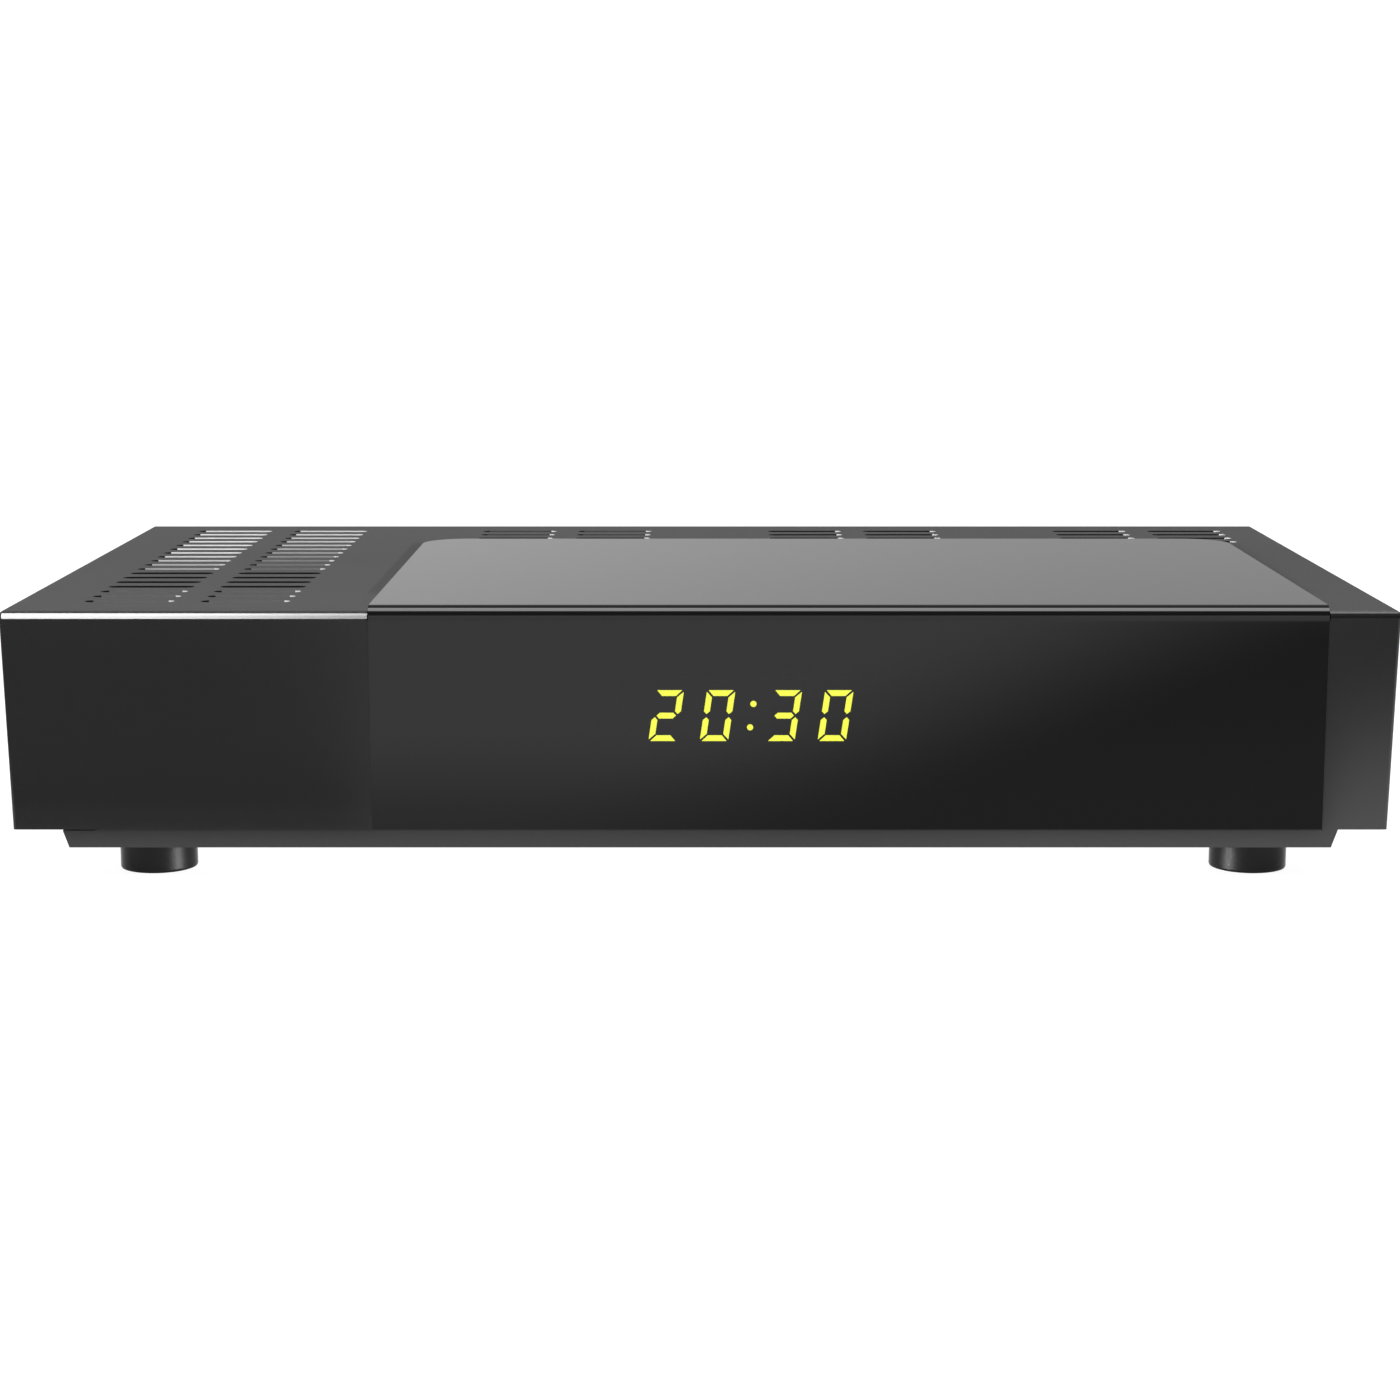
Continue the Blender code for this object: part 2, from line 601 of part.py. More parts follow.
def make_front_bezel():
    bezel = add_object(
        "front_bezel", prism(end_plate_outline(), "Y", WALL_FRONT, WALL_BACK), "satin_plastic", True
    )
    lip_top = HOOD_BOTTOM - SEAM_GAP
    lip_top_half = LIP_TOP_HALF - LIP_SLANT * SEAM_GAP / LIP_HEIGHT
    strip_left = WINDOW_RIGHT + SEAM_GAP
    strip_and_lip = [
        (-LIP_BOTTOM_HALF, FOOT_HEIGHT),
        (LIP_BOTTOM_HALF, FOOT_HEIGHT),
        (LIP_TOP_HALF, HOOD_BOTTOM),
        (half_at(HOOD_BOTTOM), HOOD_BOTTOM),
        (HALF, TOP),
        (strip_left, TOP),
        (strip_left, lip_top),
        (-lip_top_half, lip_top),
    ]
    join(bezel, front_slab(strip_and_lip, WALL_FRONT))
    rim = [
        (plug_half_at(RIM_BOTTOM), RIM_BOTTOM),
        (plug_half_at(PLUG_TOP), PLUG_TOP),
        (-plug_half_at(PLUG_TOP), PLUG_TOP),
        (-plug_half_at(RIM_BOTTOM), RIM_BOTTOM),
    ]
    root = WALL_BACK - BEZEL_WALL / 2
    behind = prism(sheet(rim, BEZEL_RIM_WALL), "Y", WALL_BACK, RIM_BACK)
    for x, z in front_post_places().values():
        rod(POST_RADIUS, (x, root, z), 0, RIM_BACK - root, "Y", SMALL_ROUND_SIDES, behind)
    for x, y in base_screw_places("front").values():
        add_tongue(x, root, WALL_BACK + TONGUE_LENGTH, TONGUE_HEIGHT, behind)
    combine(bezel, add_object("front_bezel_rim", behind), "UNION")
    clock_half = CLOCK_WIDTH / 2 + HOLE_CLEARANCE
    clock_reach = CLOCK_HEIGHT / 2 + HOLE_CLEARANCE
    holes = block(
        (CLOCK_X - clock_half, WALL_FRONT - OVERRUN, CLOCK_Z - clock_reach),
        (CLOCK_X + clock_half, WALL_BACK + OVERRUN, CLOCK_Z + clock_reach),
    )
    through = BEZEL_WALL + OVERRUN
    rod(IR_HOLE_RADIUS, (IR_X, WALL_FRONT, CLOCK_Z), -OVERRUN, through, "Y", ROUND_SIDES, holes)
    for x, z in front_post_places().values():
        low, high = BEZEL_RIM_DEPTH - SCREW_GRIP - HOLE_CLEARANCE, BEZEL_RIM_DEPTH + OVERRUN
        rod(SHANK_HOLE_RADIUS, (x, WALL_BACK, z), low, high, "Y", SMALL_ROUND_SIDES, holes)
    add_base_screw_holes("front", TONGUE_HEIGHT, holes)
    cut(bezel, holes)


def crossings(columns, rows):
    """The places where columns cross rows, named by both, such as front_left."""
    return {f"{row}_{column}": (columns[column], rows[row]) for row in rows for column in columns}


def boss_places():
    """The four posts of the tray that carry the main board."""
    columns = {"left": BOARD_LEFT + BOSS_INSET, "right": BOARD_RIGHT - BOSS_INSET}
    return crossings(columns, {"front": BOARD_FRONT + BOSS_INSET, "back": BOARD_BACK - BOSS_INSET})


def foot_places():
    reach = HALF - FOOT_FROM_SIDE
    columns = {"left": FOOT_SHIFT - reach, "right": FOOT_SHIFT + reach}
    return crossings(columns, {"front": FRONT + FOOT_FROM_END, "rear": BACK - FOOT_FROM_END})


def base_screw_places(row=None):
    """The screws that hold the tray to the bezel's tongues in front and the panel's tabs behind."""
    rows = {"front": WALL_BACK + TONGUE_LENGTH / 2, "rear": PANEL_IN - TONGUE_LENGTH / 2}
    columns = {name: WIDTH * share for name, share in BASE_SCREW_SHARES.items()}
    return crossings(columns, {row: rows[row]} if row else rows)


def add_tongue(x, low_y, high_y, height, shape):
    low = (x - TONGUE_WIDTH / 2, low_y, TONGUE_BOTTOM)
    return block(low, (x + TONGUE_WIDTH / 2, high_y, TONGUE_BOTTOM + height), shape)


def add_base_screw_holes(row, height, shape):
    """Holes up through the tray, or through what lies on it in one row."""
    for x, y in base_screw_places(row).values():
        place = (x, y, TONGUE_BOTTOM)
        low = -OVERRUN if row else -SEAT_GAP - TRAY_SHEET - OVERRUN
        rod(SHANK_HOLE_RADIUS, place, low, height + OVERRUN, "Z", SMALL_ROUND_SIDES, shape)


def make_base_tray():
    """A shallow pan whose rims step out to the hood's sides and turn up inside them."""
    rim_half = plug_half_at(HOOD_BOTTOM)
    path = mirrored(
        [
            (rim_half, HOOD_BOTTOM + TRAY_FLANGE),
            (rim_half, HOOD_BOTTOM),
            (LIP_TOP_HALF, HOOD_BOTTOM),
            (LIP_BOTTOM_HALF, FOOT_HEIGHT),
        ]
    )[::-1]
    tray = add_object(
        "base_tray", prism(sheet(path, TRAY_SHEET), "Y", TRAY_FRONT, TRAY_BACK), "bare_steel", True
    )
    bosses, holes = bmesh.new(), bmesh.new()
    for x, y in boss_places().values():
        foot = (x, y, TRAY_FLOOR)
        rod(BOSS_RADIUS, foot, -TRAY_SHEET / 2, BOSS_HEIGHT, "Z", SMALL_ROUND_SIDES, bosses)
        rod(SHANK_HOLE_RADIUS, foot, 0, BOSS_HEIGHT + OVERRUN, "Z", SMALL_ROUND_SIDES, holes)
    for x, y in foot_places().values():
        place = (x, y, FOOT_HEIGHT)
        rod(SHANK_HOLE_RADIUS, place, -OVERRUN, TRAY_SHEET + OVERRUN, "Z", SMALL_ROUND_SIDES, holes)
    add_base_screw_holes(None, 0, holes)
    join(tray, bosses)
    cut(tray, holes)


def make_screw(name, seat, axis, pointing, length):
    """A pan-head screw. The seat is under its head, and pointing is 1 or -1 along the axis."""
    profile = [
        (0, -SCREW_HEAD_HEIGHT),
        (SCREW_HEAD_RADIUS - SCREW_HEAD_ROUND, -SCREW_HEAD_HEIGHT),
        (SCREW_HEAD_RADIUS, -SCREW_HEAD_HEIGHT + SCREW_HEAD_ROUND),
        (SCREW_HEAD_RADIUS, 0),
        (SCREW_SHANK_RADIUS, 0),
        (SCREW_SHANK_RADIUS, length),
        (0, length),
    ]
    profile = [(radius, along * pointing) for radius, along in profile]
    shape = turned(profile, seat, axis, SMALL_ROUND_SIDES)
    return add_object(name, shape, "bare_steel", True)


def make_feet():
    """Round feet, each held by a screw from below."""
    top = FOOT_HEIGHT - SEAT_GAP
    recess_radius = SCREW_HEAD_RADIUS + HOLE_CLEARANCE
    profile = [
        (SHANK_HOLE_RADIUS, top),
        (SHANK_HOLE_RADIUS, FOOT_RECESS_DEPTH),
        (recess_radius, FOOT_RECESS_DEPTH),
        (recess_radius, 0),
        (FOOT_RADIUS - FOOT_CHAMFER, 0),
        (FOOT_RADIUS, FOOT_CHAMFER),
        (FOOT_RADIUS, top),
        (SHANK_HOLE_RADIUS, top),
    ]
    seat = FOOT_RECESS_DEPTH - SEAT_GAP
    length = FOOT_HEIGHT + TRAY_SHEET + SCREW_GRIP - seat
    for name, (x, y) in foot_places().items():
        shape = turned(profile, (x, y, 0), "Z", FOOT_SIDES)
        add_object(f"foot_{name}", shape, "foot_plastic", True)
        make_screw(f"foot_screw_{name}", (x, y, seat), "Z", 1, length)


def make_case_screws():
    """The screws that hold the cover to the rear panel, and the tray to both ends of the case."""
    seat = BACK + SEAT_GAP
    length = seat - PANEL_IN + SCREW_GRIP
    for name, (x, z) in zip(COVER_SCREW_SHARES, cover_screw_places()):
        make_screw(f"cover_screw_{name}", (x, seat, z), "Y", -1, length)
    seat = FOOT_HEIGHT - SEAT_GAP
    length = TONGUE_BOTTOM - seat + SCREW_GRIP
    for name, (x, y) in base_screw_places().items():
        make_screw(f"base_screw_{name}", (x, y, seat), "Z", 1, length)


def digit_bars():
    """The seven bars of a digit round its middle, by letter, each an outline of (x, z) points."""
    w, h, t, g = DIGIT_WIDTH / 2, DIGIT_HEIGHT / 2, BAR_THICKNESS, BAR_GAP
    tip, blunt = g + BAR_CORNER, g + BAR_CORNER / 2
    cut_side = BAR_CORNER / 2
    top = [(w - tip, h), (w - blunt, h - cut_side), (w - t - g, h - t)]
    top = [(-x, z) for x, z in top] + top[::-1]
    upper = [(w - cut_side, h - blunt), (w, h - tip), (w, t / 2 + g), (w - t / 2, g)]
    upper += [(w - t, t / 2 + g), (w - t, h - t - g)]
    middle = [
        (-w + t / 2 + g, 0),
        (-w + t + g, t / 2),
        (w - t - g, t / 2),
        (w - t / 2 - g, 0),
        (w - t - g, -t / 2),
        (-w + t + g, -t / 2),
    ]
    bars = {
        "a": top,
        "b": upper,
        "c": [(x, -z) for x, z in upper],
        "d": [(x, -z) for x, z in top],
        "e": [(-x, -z) for x, z in upper],
        "f": [(-x, z) for x, z in upper],
        "g": middle,
    }
    lean = math.tan(DIGIT_SLANT)
    return {letter: [(x + z * lean, z) for x, z in bar] for letter, bar in bars.items()}


def make_clock():
    """The clock's face with its lit bars and colon standing on it, and the module behind it."""
    face = WALL_FRONT + BAR_RISE
    face_back = face + CLOCK_FACE_THICKNESS
    half_width, half_height = CLOCK_WIDTH / 2, CLOCK_HEIGHT / 2
    digits = add_object(
        "clock_digits",
        block(
            (CLOCK_X - half_width, face, CLOCK_Z - half_height),
            (CLOCK_X + half_width, face_back, CLOCK_Z + half_height),
        ),
        "clock_light",
    )
    lit = bmesh.new()
    root = face + CLOCK_FACE_THICKNESS / 2
    outer = DIGIT_INNER_OFFSET + DIGIT_PITCH
    bars = digit_bars()
    for offset, letters in zip((-outer, -DIGIT_INNER_OFFSET, DIGIT_INNER_OFFSET, outer), LIT_BARS):
        for letter in letters:
            bar = [(CLOCK_X + offset + x, CLOCK_Z + z) for x, z in bars[letter]]
            prism(bar, "Y", WALL_FRONT, root, lit)
    for side in (1, -1):
        lean = side * COLON_RISE * math.tan(DIGIT_SLANT)
        place = (CLOCK_X + COLON_SHIFT + lean, WALL_FRONT, CLOCK_Z + side * COLON_RISE)
        rod(COLON_RADIUS, place, 0, root - WALL_FRONT, "Y", SMALL_ROUND_SIDES, lit)
    join(digits, lit)
    module = block(
        (CLOCK_X - half_width, face_back + SEAT_GAP, CLOCK_Z - half_height),
        (CLOCK_X + half_width, FRONT_BOARD_FRONT - SEAT_GAP, CLOCK_Z + half_height),
    )
    chamfer(add_object("clock_module", module, "black_plastic"), BAR_RISE)


def make_front_board():
    half, reach = FRONT_BOARD_WIDTH / 2, FRONT_BOARD_HEIGHT / 2
    board = add_object(
        "front_board",
        block(
            (FRONT_BOARD_X - half, FRONT_BOARD_FRONT, CLOCK_Z - reach),
            (FRONT_BOARD_X + half, FRONT_BOARD_BACK, CLOCK_Z + reach),
        ),
        "board",
    )
    holes = bmesh.new()
    seat = FRONT_BOARD_BACK + SEAT_GAP
    length = seat - RIM_BACK + SCREW_GRIP - HOLE_CLEARANCE
    for name, (x, z) in front_post_places().items():
        place = (x, FRONT_BOARD_FRONT, z)
        through = FRONT_BOARD_THICKNESS + OVERRUN
        rod(SHANK_HOLE_RADIUS, place, -OVERRUN, through, "Y", SMALL_ROUND_SIDES, holes)
        make_screw(f"front_board_screw_{name}", (x, seat, z), "Y", -1, length)
    cut(board, holes)


def make_ir_receiver():
    """A small block with a domed lens that looks out through a hole in the bezel."""
    back = FRONT_BOARD_FRONT - SEAT_GAP
    front = back - IR_BODY_DEPTH
    receiver = add_object(
        "ir_receiver",
        block(
            (IR_X - IR_WIDTH / 2, front, CLOCK_Z - IR_HEIGHT / 2),
            (IR_X + IR_WIDTH / 2, back, CLOCK_Z + IR_HEIGHT / 2),
        ),
        "black_plastic",
        True,
    )
    dome = arc((0, -IR_LENS_LENGTH), IR_LENS_RADIUS, -math.pi / 2, 0, ARC_STEPS)
    dome[0] = (0, dome[0][1])
    root = IR_BODY_DEPTH / 2
    profile = dome + [(IR_LENS_RADIUS, root), (0, root)]
    join(receiver, turned(profile, (IR_X, front, CLOCK_Z), "Y", SMALL_ROUND_SIDES))


def make_headers_and_ribbon():
    """The cable between the boards, a flat ribbon that bends from level to straight down."""
    half, reach = HEADER_WIDTH / 2, HEADER_DEPTH / 2
    front = FRONT_BOARD_BACK + SEAT_GAP
    front_header = block(
        (CLOCK_X - half, front, CLOCK_Z - reach),
        (CLOCK_X + half, front + HEADER_HEIGHT, CLOCK_Z + reach),
    )
    chamfer(add_object("front_header", front_header, "white_plastic"), SEAT_GAP)
    middle = BOARD_FRONT + HEADER_INSET
    top = BOARD_SEAT + HEADER_HEIGHT
    main_header = block((CLOCK_X - half, middle - reach, BOARD_SEAT), (CLOCK_X + half, middle + reach, top))
    chamfer(add_object("main_header", main_header, "white_plastic"), SEAT_GAP)
    start = Vector((front + HEADER_HEIGHT + SEAT_GAP, CLOCK_Z))
    end = Vector((middle, top + SEAT_GAP))
    run, drop = end.x - start.x, start.y - end.y
    pulls = [start + Vector((run * RIBBON_BEND_SHARE, 0)), end + Vector((0, drop * RIBBON_BEND_SHARE))]
    route = []
    for i in range(RIBBON_STEPS + 1):
        t = i / RIBBON_STEPS
        point = start * (1 - t) ** 3 + pulls[0] * 3 * t * (1 - t) ** 2
        route.append(point + pulls[1] * 3 * t * t * (1 - t) + end * t**3)
    path = offset_path([tuple(point) for point in route], -RIBBON_THICKNESS / 2)
    ribbon = prism(sheet(path, RIBBON_THICKNESS), "X", CLOCK_X - RIBBON_WIDTH / 2, CLOCK_X + RIBBON_WIDTH / 2)
    add_object("ribbon_cable", ribbon, "cable", True)


def on_board(shares):
    """A place on the main board, from shares of its width and depth."""
    x_share, y_share = shares
    return (
        BOARD_LEFT + (BOARD_RIGHT - BOARD_LEFT) * x_share,
        BOARD_FRONT + (BOARD_BACK - BOARD_FRONT) * y_share,
    )


def make_main_board():
    board = add_object(
        "main_board",
        block((BOARD_LEFT, BOARD_FRONT, BOARD_BOTTOM), (BOARD_RIGHT, BOARD_BACK, BOARD_TOP)),
        "board",
    )
    holes = bmesh.new()
    length = BOARD_SEAT - TRAY_FLOOR - BOSS_HEIGHT + SCREW_GRIP
    for name, (x, y) in boss_places().items():
        through = BOARD_THICKNESS + OVERRUN
        rod(SHANK_HOLE_RADIUS, (x, y, BOARD_BOTTOM), -OVERRUN, through, "Z", SMALL_ROUND_SIDES, holes)
        make_screw(f"board_screw_{name}", (x, y, BOARD_SEAT), "Z", -1, length)
    cut(board, holes)


def make_chip(name, size, shares, base=BOARD_SEAT, finish="chip"):
    x, y = on_board(shares)
    width, depth, height = size
    shape = block((x - width / 2, y - depth / 2, base), (x + width / 2, y + depth / 2, base + height))
    return chamfer(add_object(name, shape, finish), CHIP_CHAMFER)


def make_processor():
    make_chip("main_processor", (PROCESSOR_WIDTH, PROCESSOR_WIDTH, PROCESSOR_HEIGHT), PROCESSOR_SHARES)
    x, y = on_board(PROCESSOR_SHARES)
    base = BOARD_SEAT + PROCESSOR_HEIGHT + SEAT_GAP
    half = HEATSINK_WIDTH / 2
    floor, top = base + HEATSINK_BASE, base + HEATSINK_HEIGHT
    pitch = (HEATSINK_WIDTH - HEATSINK_FIN) / (HEATSINK_FINS - 1)
    outline = [(x + half, base)]
    for fin in range(HEATSINK_FINS):
        right = x + half - fin * pitch
        left = right - HEATSINK_FIN
        outline += [(right, top), (left, top)] if fin == 0 else [(right, floor), (right, top), (left, top)]
        outline += [(left, floor)] if fin < HEATSINK_FINS - 1 else []
    outline.append((x - half, base))
    add_object("processor_heatsink", prism(outline, "Y", y - half, y + half), "aluminium")


def make_small_parts():
    """The memory, flash, clock crystal, regulator, inductors and capacitors of the main board."""
    for name, shares in MEMORY_SHARES.items():
        make_chip(name, MEMORY_SIZE, shares)
    make_chip("flash_chip", FLASH_SIZE, FLASH_SHARES)
    make_chip("crystal", CRYSTAL_SIZE, CRYSTAL_SHARES, finish="tin")
    make_chip("regulator", REGULATOR_SIZE, REGULATOR_SHARES)
    width, depth, height = INDUCTOR_SIZE
    for name, shares in INDUCTOR_SHARES.items():
        x, y = on_board(shares)
        a, b, c = width / 2, depth / 2, INDUCTOR_CHAMFER
        quarter = [(a, b - c), (a - c, b)]
        outline = quarter + [(-x, y) for x, y in quarter[::-1]]
        outline += [(-x, -y) for x, y in outline]
        outline = [(x + dx, y + dy) for dx, dy in outline]
        add_object(name, prism(outline, "Z", BOARD_SEAT, BOARD_SEAT + height), "chip")
    radius, groove, edge = CAPACITOR_RADIUS, CAPACITOR_GROOVE, CAPACITOR_EDGE
    profile = [
        (0, 0),
        (radius, 0),
        (radius, CAPACITOR_GROOVE_RISE - groove),
        (radius - groove, CAPACITOR_GROOVE_RISE),
        (radius, CAPACITOR_GROOVE_RISE + groove),
        (radius, CAPACITOR_HEIGHT - edge),
        (radius - edge, CAPACITOR_HEIGHT),
        (0, CAPACITOR_HEIGHT),
    ]
    for name, shares in CAPACITOR_SHARES.items():
        shape = turned(profile, (*on_board(shares), BOARD_SEAT), "Z", SMALL_ROUND_SIDES)
        add_object(name, shape, "black_plastic", True)


def socket_places():
    """The middle of each socket across the back: a row with even gaps between its ends."""
    left = SOCKETS_LEFT
    gap = (SOCKETS_RIGHT - left - sum(SOCKET_WIDTHS.values())) / (len(SOCKET_WIDTHS) - 1)
    places = {}
    for name, width in SOCKET_WIDTHS.items():
        places[name] = left + width / 2
        left += width + gap
    return places


def keyed_outline(x, width, height, key):
    """A socket's outline from the back, one lower corner cut off by key."""
    half, base = width / 2, BOARD_SEAT
    corner = [(x - half + key, base), (x - half, base + key)] if key else [(x - half, base)]
    return [(x - half, base + height), (x + half, base + height), (x + half, base)] + corner


def make_shell_socket(name, x, size, wall, tongue, finish, key=0):
    """A socket that is a thin shell round a tongue or a block of contacts."""
    width, depth, height = size
    mouth = PANEL_OUT + SOCKET_PROUD
    outline = keyed_outline(x, width, height, key)
    socket = add_object(name, prism(outline, "Y", mouth - depth, mouth), finish)
    inside = offset_path(outline + outline[:2], -wall)[1:-1]
    floor = mouth - SOCKET_CAVITY_DEPTH
    cut(socket, prism(inside, "Y", floor, mouth + OVERRUN))
    tongue_width, tongue_height = tongue
    middle = BOARD_SEAT + height / 2
    low = (x - tongue_width / 2, floor - wall, middle - tongue_height / 2)
    high = (x + tongue_width / 2, mouth - wall, middle + tongue_height / 2)
    join(socket, block(low, high))


def make_dc_inlet(x):
    width, depth, height = DC_SIZE
    mouth = PANEL_OUT + SOCKET_PROUD
    place = (x, mouth, BOARD_SEAT + height / 2)
    body = block((x - width / 2, mouth - depth, BOARD_SEAT), (x + width / 2, mouth, BOARD_SEAT + height))
    inlet = add_object("dc_inlet", body, "black_plastic", True)
    cut(inlet, rod(DC_BORE_RADIUS, place, -DC_BORE_DEPTH, OVERRUN, "Y"))
    pin = rod(DC_PIN_RADIUS, place, -DC_BORE_DEPTH - DC_PIN_RADIUS, -DC_PIN_RADIUS, "Y", SMALL_ROUND_SIDES)
    join(inlet, pin)


def audio_centre(x):
    return (x, PANEL_OUT, BOARD_SEAT + AUDIO_SIZE[2] / 2)


def make_audio_socket(x):
    width, depth, height = AUDIO_SIZE
    back = PANEL_IN - SEAT_GAP
    body = block((x - width / 2, back - depth, BOARD_SEAT), (x + width / 2, back, BOARD_SEAT + height))
    socket = add_object("audio_socket", body, "nickel", True)
    place = audio_centre(x)
    root = back - depth / 2 - PANEL_OUT
    edge = AUDIO_BORE_RADIUS / 4
    profile = [
        (0, root),
        (AUDIO_BARREL_RADIUS, root),
        (AUDIO_BARREL_RADIUS, AUDIO_BARREL_LENGTH - edge),
        (AUDIO_BARREL_RADIUS - edge, AUDIO_BARREL_LENGTH),
        (0, AUDIO_BARREL_LENGTH),
    ]
    join(socket, turned(profile, place, "Y"))
    bore = rod(AUDIO_BORE_RADIUS, place, 0, AUDIO_BARREL_LENGTH + OVERRUN, "Y", SMALL_ROUND_SIDES)
    cut(socket, bore)


def lnb_centre(x):
    return (x, PANEL_IN, BOARD_SEAT + TUNER_SIZE[2] / 2)


def make_tuner(x):
    """The tuner's tin can, open under the board side, and its threaded connector and nut."""
    width, depth, height = TUNER_SIZE
    back = PANEL_IN - SEAT_GAP
    half = width / 2
    can = block((x - half, back - depth, BOARD_SEAT), (x + half, back, BOARD_SEAT + height))
    can = add_object("tuner_can", can, "tin")
    inner = half - TUNER_WALL
    hollow = block(
        (x - inner, back - depth + TUNER_WALL, BOARD_SEAT - OVERRUN),
        (x + inner, back - TUNER_WALL, BOARD_SEAT + height - TUNER_WALL),
    )
    cut(can, hollow)
    place = lnb_centre(x)
    end = BACK + LNB_REACH - PANEL_IN
    chamfer_size = LNB_RADIUS / 8
    profile = [
        (0, 0),
        (LNB_RADIUS, 0),
        (LNB_RADIUS, end - chamfer_size),
        (LNB_RADIUS - chamfer_size, end),
        (LNB_BORE_RADIUS, end),
        (LNB_BORE_RADIUS, end - LNB_BORE_DEPTH),
        (0, end - LNB_BORE_DEPTH),
    ]
    add_object("lnb_connector", turned(profile, place, "Y"), "nickel", True)
    corner = NUT_FLATS / 2 / math.cos(math.pi / 6)
    hexagon = arc((place[0], place[2]), corner, 0, math.tau, 6)[:-1]
    start = PANEL_OUT + SEAT_GAP
    nut = add_object("lnb_nut", prism(hexagon, "Y", start, start + NUT_THICKNESS), "nickel", True)
    through = start - PANEL_IN + NUT_THICKNESS + OVERRUN
    cut(nut, rod(LNB_RADIUS + HOLE_CLEARANCE, place, 0, through, "Y"))


def make_rear_panel(places):
    panel = add_object(
        "rear_panel", prism(end_plate_outline(), "Y", PANEL_IN, PANEL_OUT), "painted_steel", True
    )
    tabs, holes = bmesh.new(), bmesh.new()
    for x, y in base_screw_places("rear").values():
        add_tongue(x, PANEL_IN - TONGUE_LENGTH, PANEL_IN + PANEL_SHEET / 2, PANEL_SHEET, tabs)
    add_base_screw_holes("rear", PANEL_SHEET, holes)
    join(panel, tabs)
    near, far = PANEL_IN - OVERRUN, PANEL_OUT + OVERRUN
    for name, size in (("dc", DC_SIZE), ("usb", USB_SIZE), ("hdmi", HDMI_SIZE), ("scart", SCART_SIZE)):
        half = size[0] / 2 + HOLE_CLEARANCE
        x, low, high = places[name], BOARD_SEAT - HOLE_CLEARANCE, BOARD_SEAT + size[2] + HOLE_CLEARANCE
        block((x - half, near, low), (x + half, far, high), holes)
    through = PANEL_SHEET + OVERRUN
    for centre, radius in (
        (audio_centre(places["audio"]), AUDIO_BARREL_RADIUS),
        (lnb_centre(places["tuner"]), LNB_RADIUS),
    ):
        place = (centre[0], PANEL_IN, centre[2])
        rod(radius + HOLE_CLEARANCE, place, -OVERRUN, through, "Y", ROUND_SIDES, holes)
    for x, z in cover_screw_places():
        place = (x, PANEL_IN, z)
        rod(SHANK_HOLE_RADIUS, place, -OVERRUN, through, "Y", SMALL_ROUND_SIDES, holes)
    x, _, z = ROCKER_AXIS
    half, reach = (size / 2 + HOLE_CLEARANCE for size in SWITCH_BODY)
    block((x - half, near, z - reach), (x + half, far, z + reach), holes)
    cut(panel, holes)


def make_switch():
    """A rocker switch. Its rocker turns on two pins, and lies at its on side at rest."""
    x, axis_y, z = ROCKER_AXIS
    half, reach = SWITCH_FRAME[0] / 2, SWITCH_FRAME[1] / 2
    body_half, body_reach = SWITCH_BODY[0] / 2, SWITCH_BODY[1] / 2
    start = FRAME_FACE - SWITCH_FRAME_THICKNESS
    housing = add_object(
        "switch_housing",
        block((x - half, start, z - reach), (x + half, FRAME_FACE, z + reach)),
        "black_plastic",
        True,
    )
    body = block(
        (x - body_half, start - SWITCH_BODY_DEPTH, z - body_reach),
        (x + body_half, FRAME_FACE - SWITCH_FRAME_THICKNESS / 2, z + body_reach),
    )
    join(housing, body)
    swing = ROCKER_LENGTH / 2 * math.cos(ROCKER_TILT) + ROCKER_END_RISE * math.sin(ROCKER_TILT)
    open_half = swing + ROCKER_CLEARANCE
    open_reach = ROCKER_HEIGHT / 2 + ROCKER_CLEARANCE
    opening = block(
        (x - open_half, axis_y - SWITCH_FLOOR_DEPTH, z - open_reach),
        (x + open_half, FRAME_FACE + OVERRUN, z + open_reach),
    )
    cut(housing, opening)
    pin_hole = ROCKER_PIN_RADIUS + HOLE_CLEARANCE
    across = rod(pin_hole, ROCKER_AXIS, -body_reach - OVERRUN, body_reach + OVERRUN, "Z", SMALL_ROUND_SIDES)
    combine(housing, add_object("switch_housing_pin_holes", across), "DIFFERENCE")
    a = ROCKER_LENGTH / 2
    outline = [
        (-a, -ROCKER_SKIRT),
        (a, -ROCKER_SKIRT),
        (a, ROCKER_END_RISE),
        (0, ROCKER_CENTRE_RISE),
        (-a, ROCKER_END_RISE),
    ]
    b = ROCKER_HEIGHT / 2
    rocker = add_object("switch_rocker", prism(outline, "Z", -b, b), "black_plastic", True)
    rocker.location = ROCKER_AXIS
    rocker.rotation_euler.z = -ROCKER_TILT
    pin_reach = b + ROCKER_PIN_LENGTH
    pins = rod(ROCKER_PIN_RADIUS, (0, 0, 0), -pin_reach, pin_reach, "Z", SMALL_ROUND_SIDES)
    pins = add_object("switch_rocker_pins", pins)
    pins.parent = rocker
    combine(rocker, pins, "UNION")


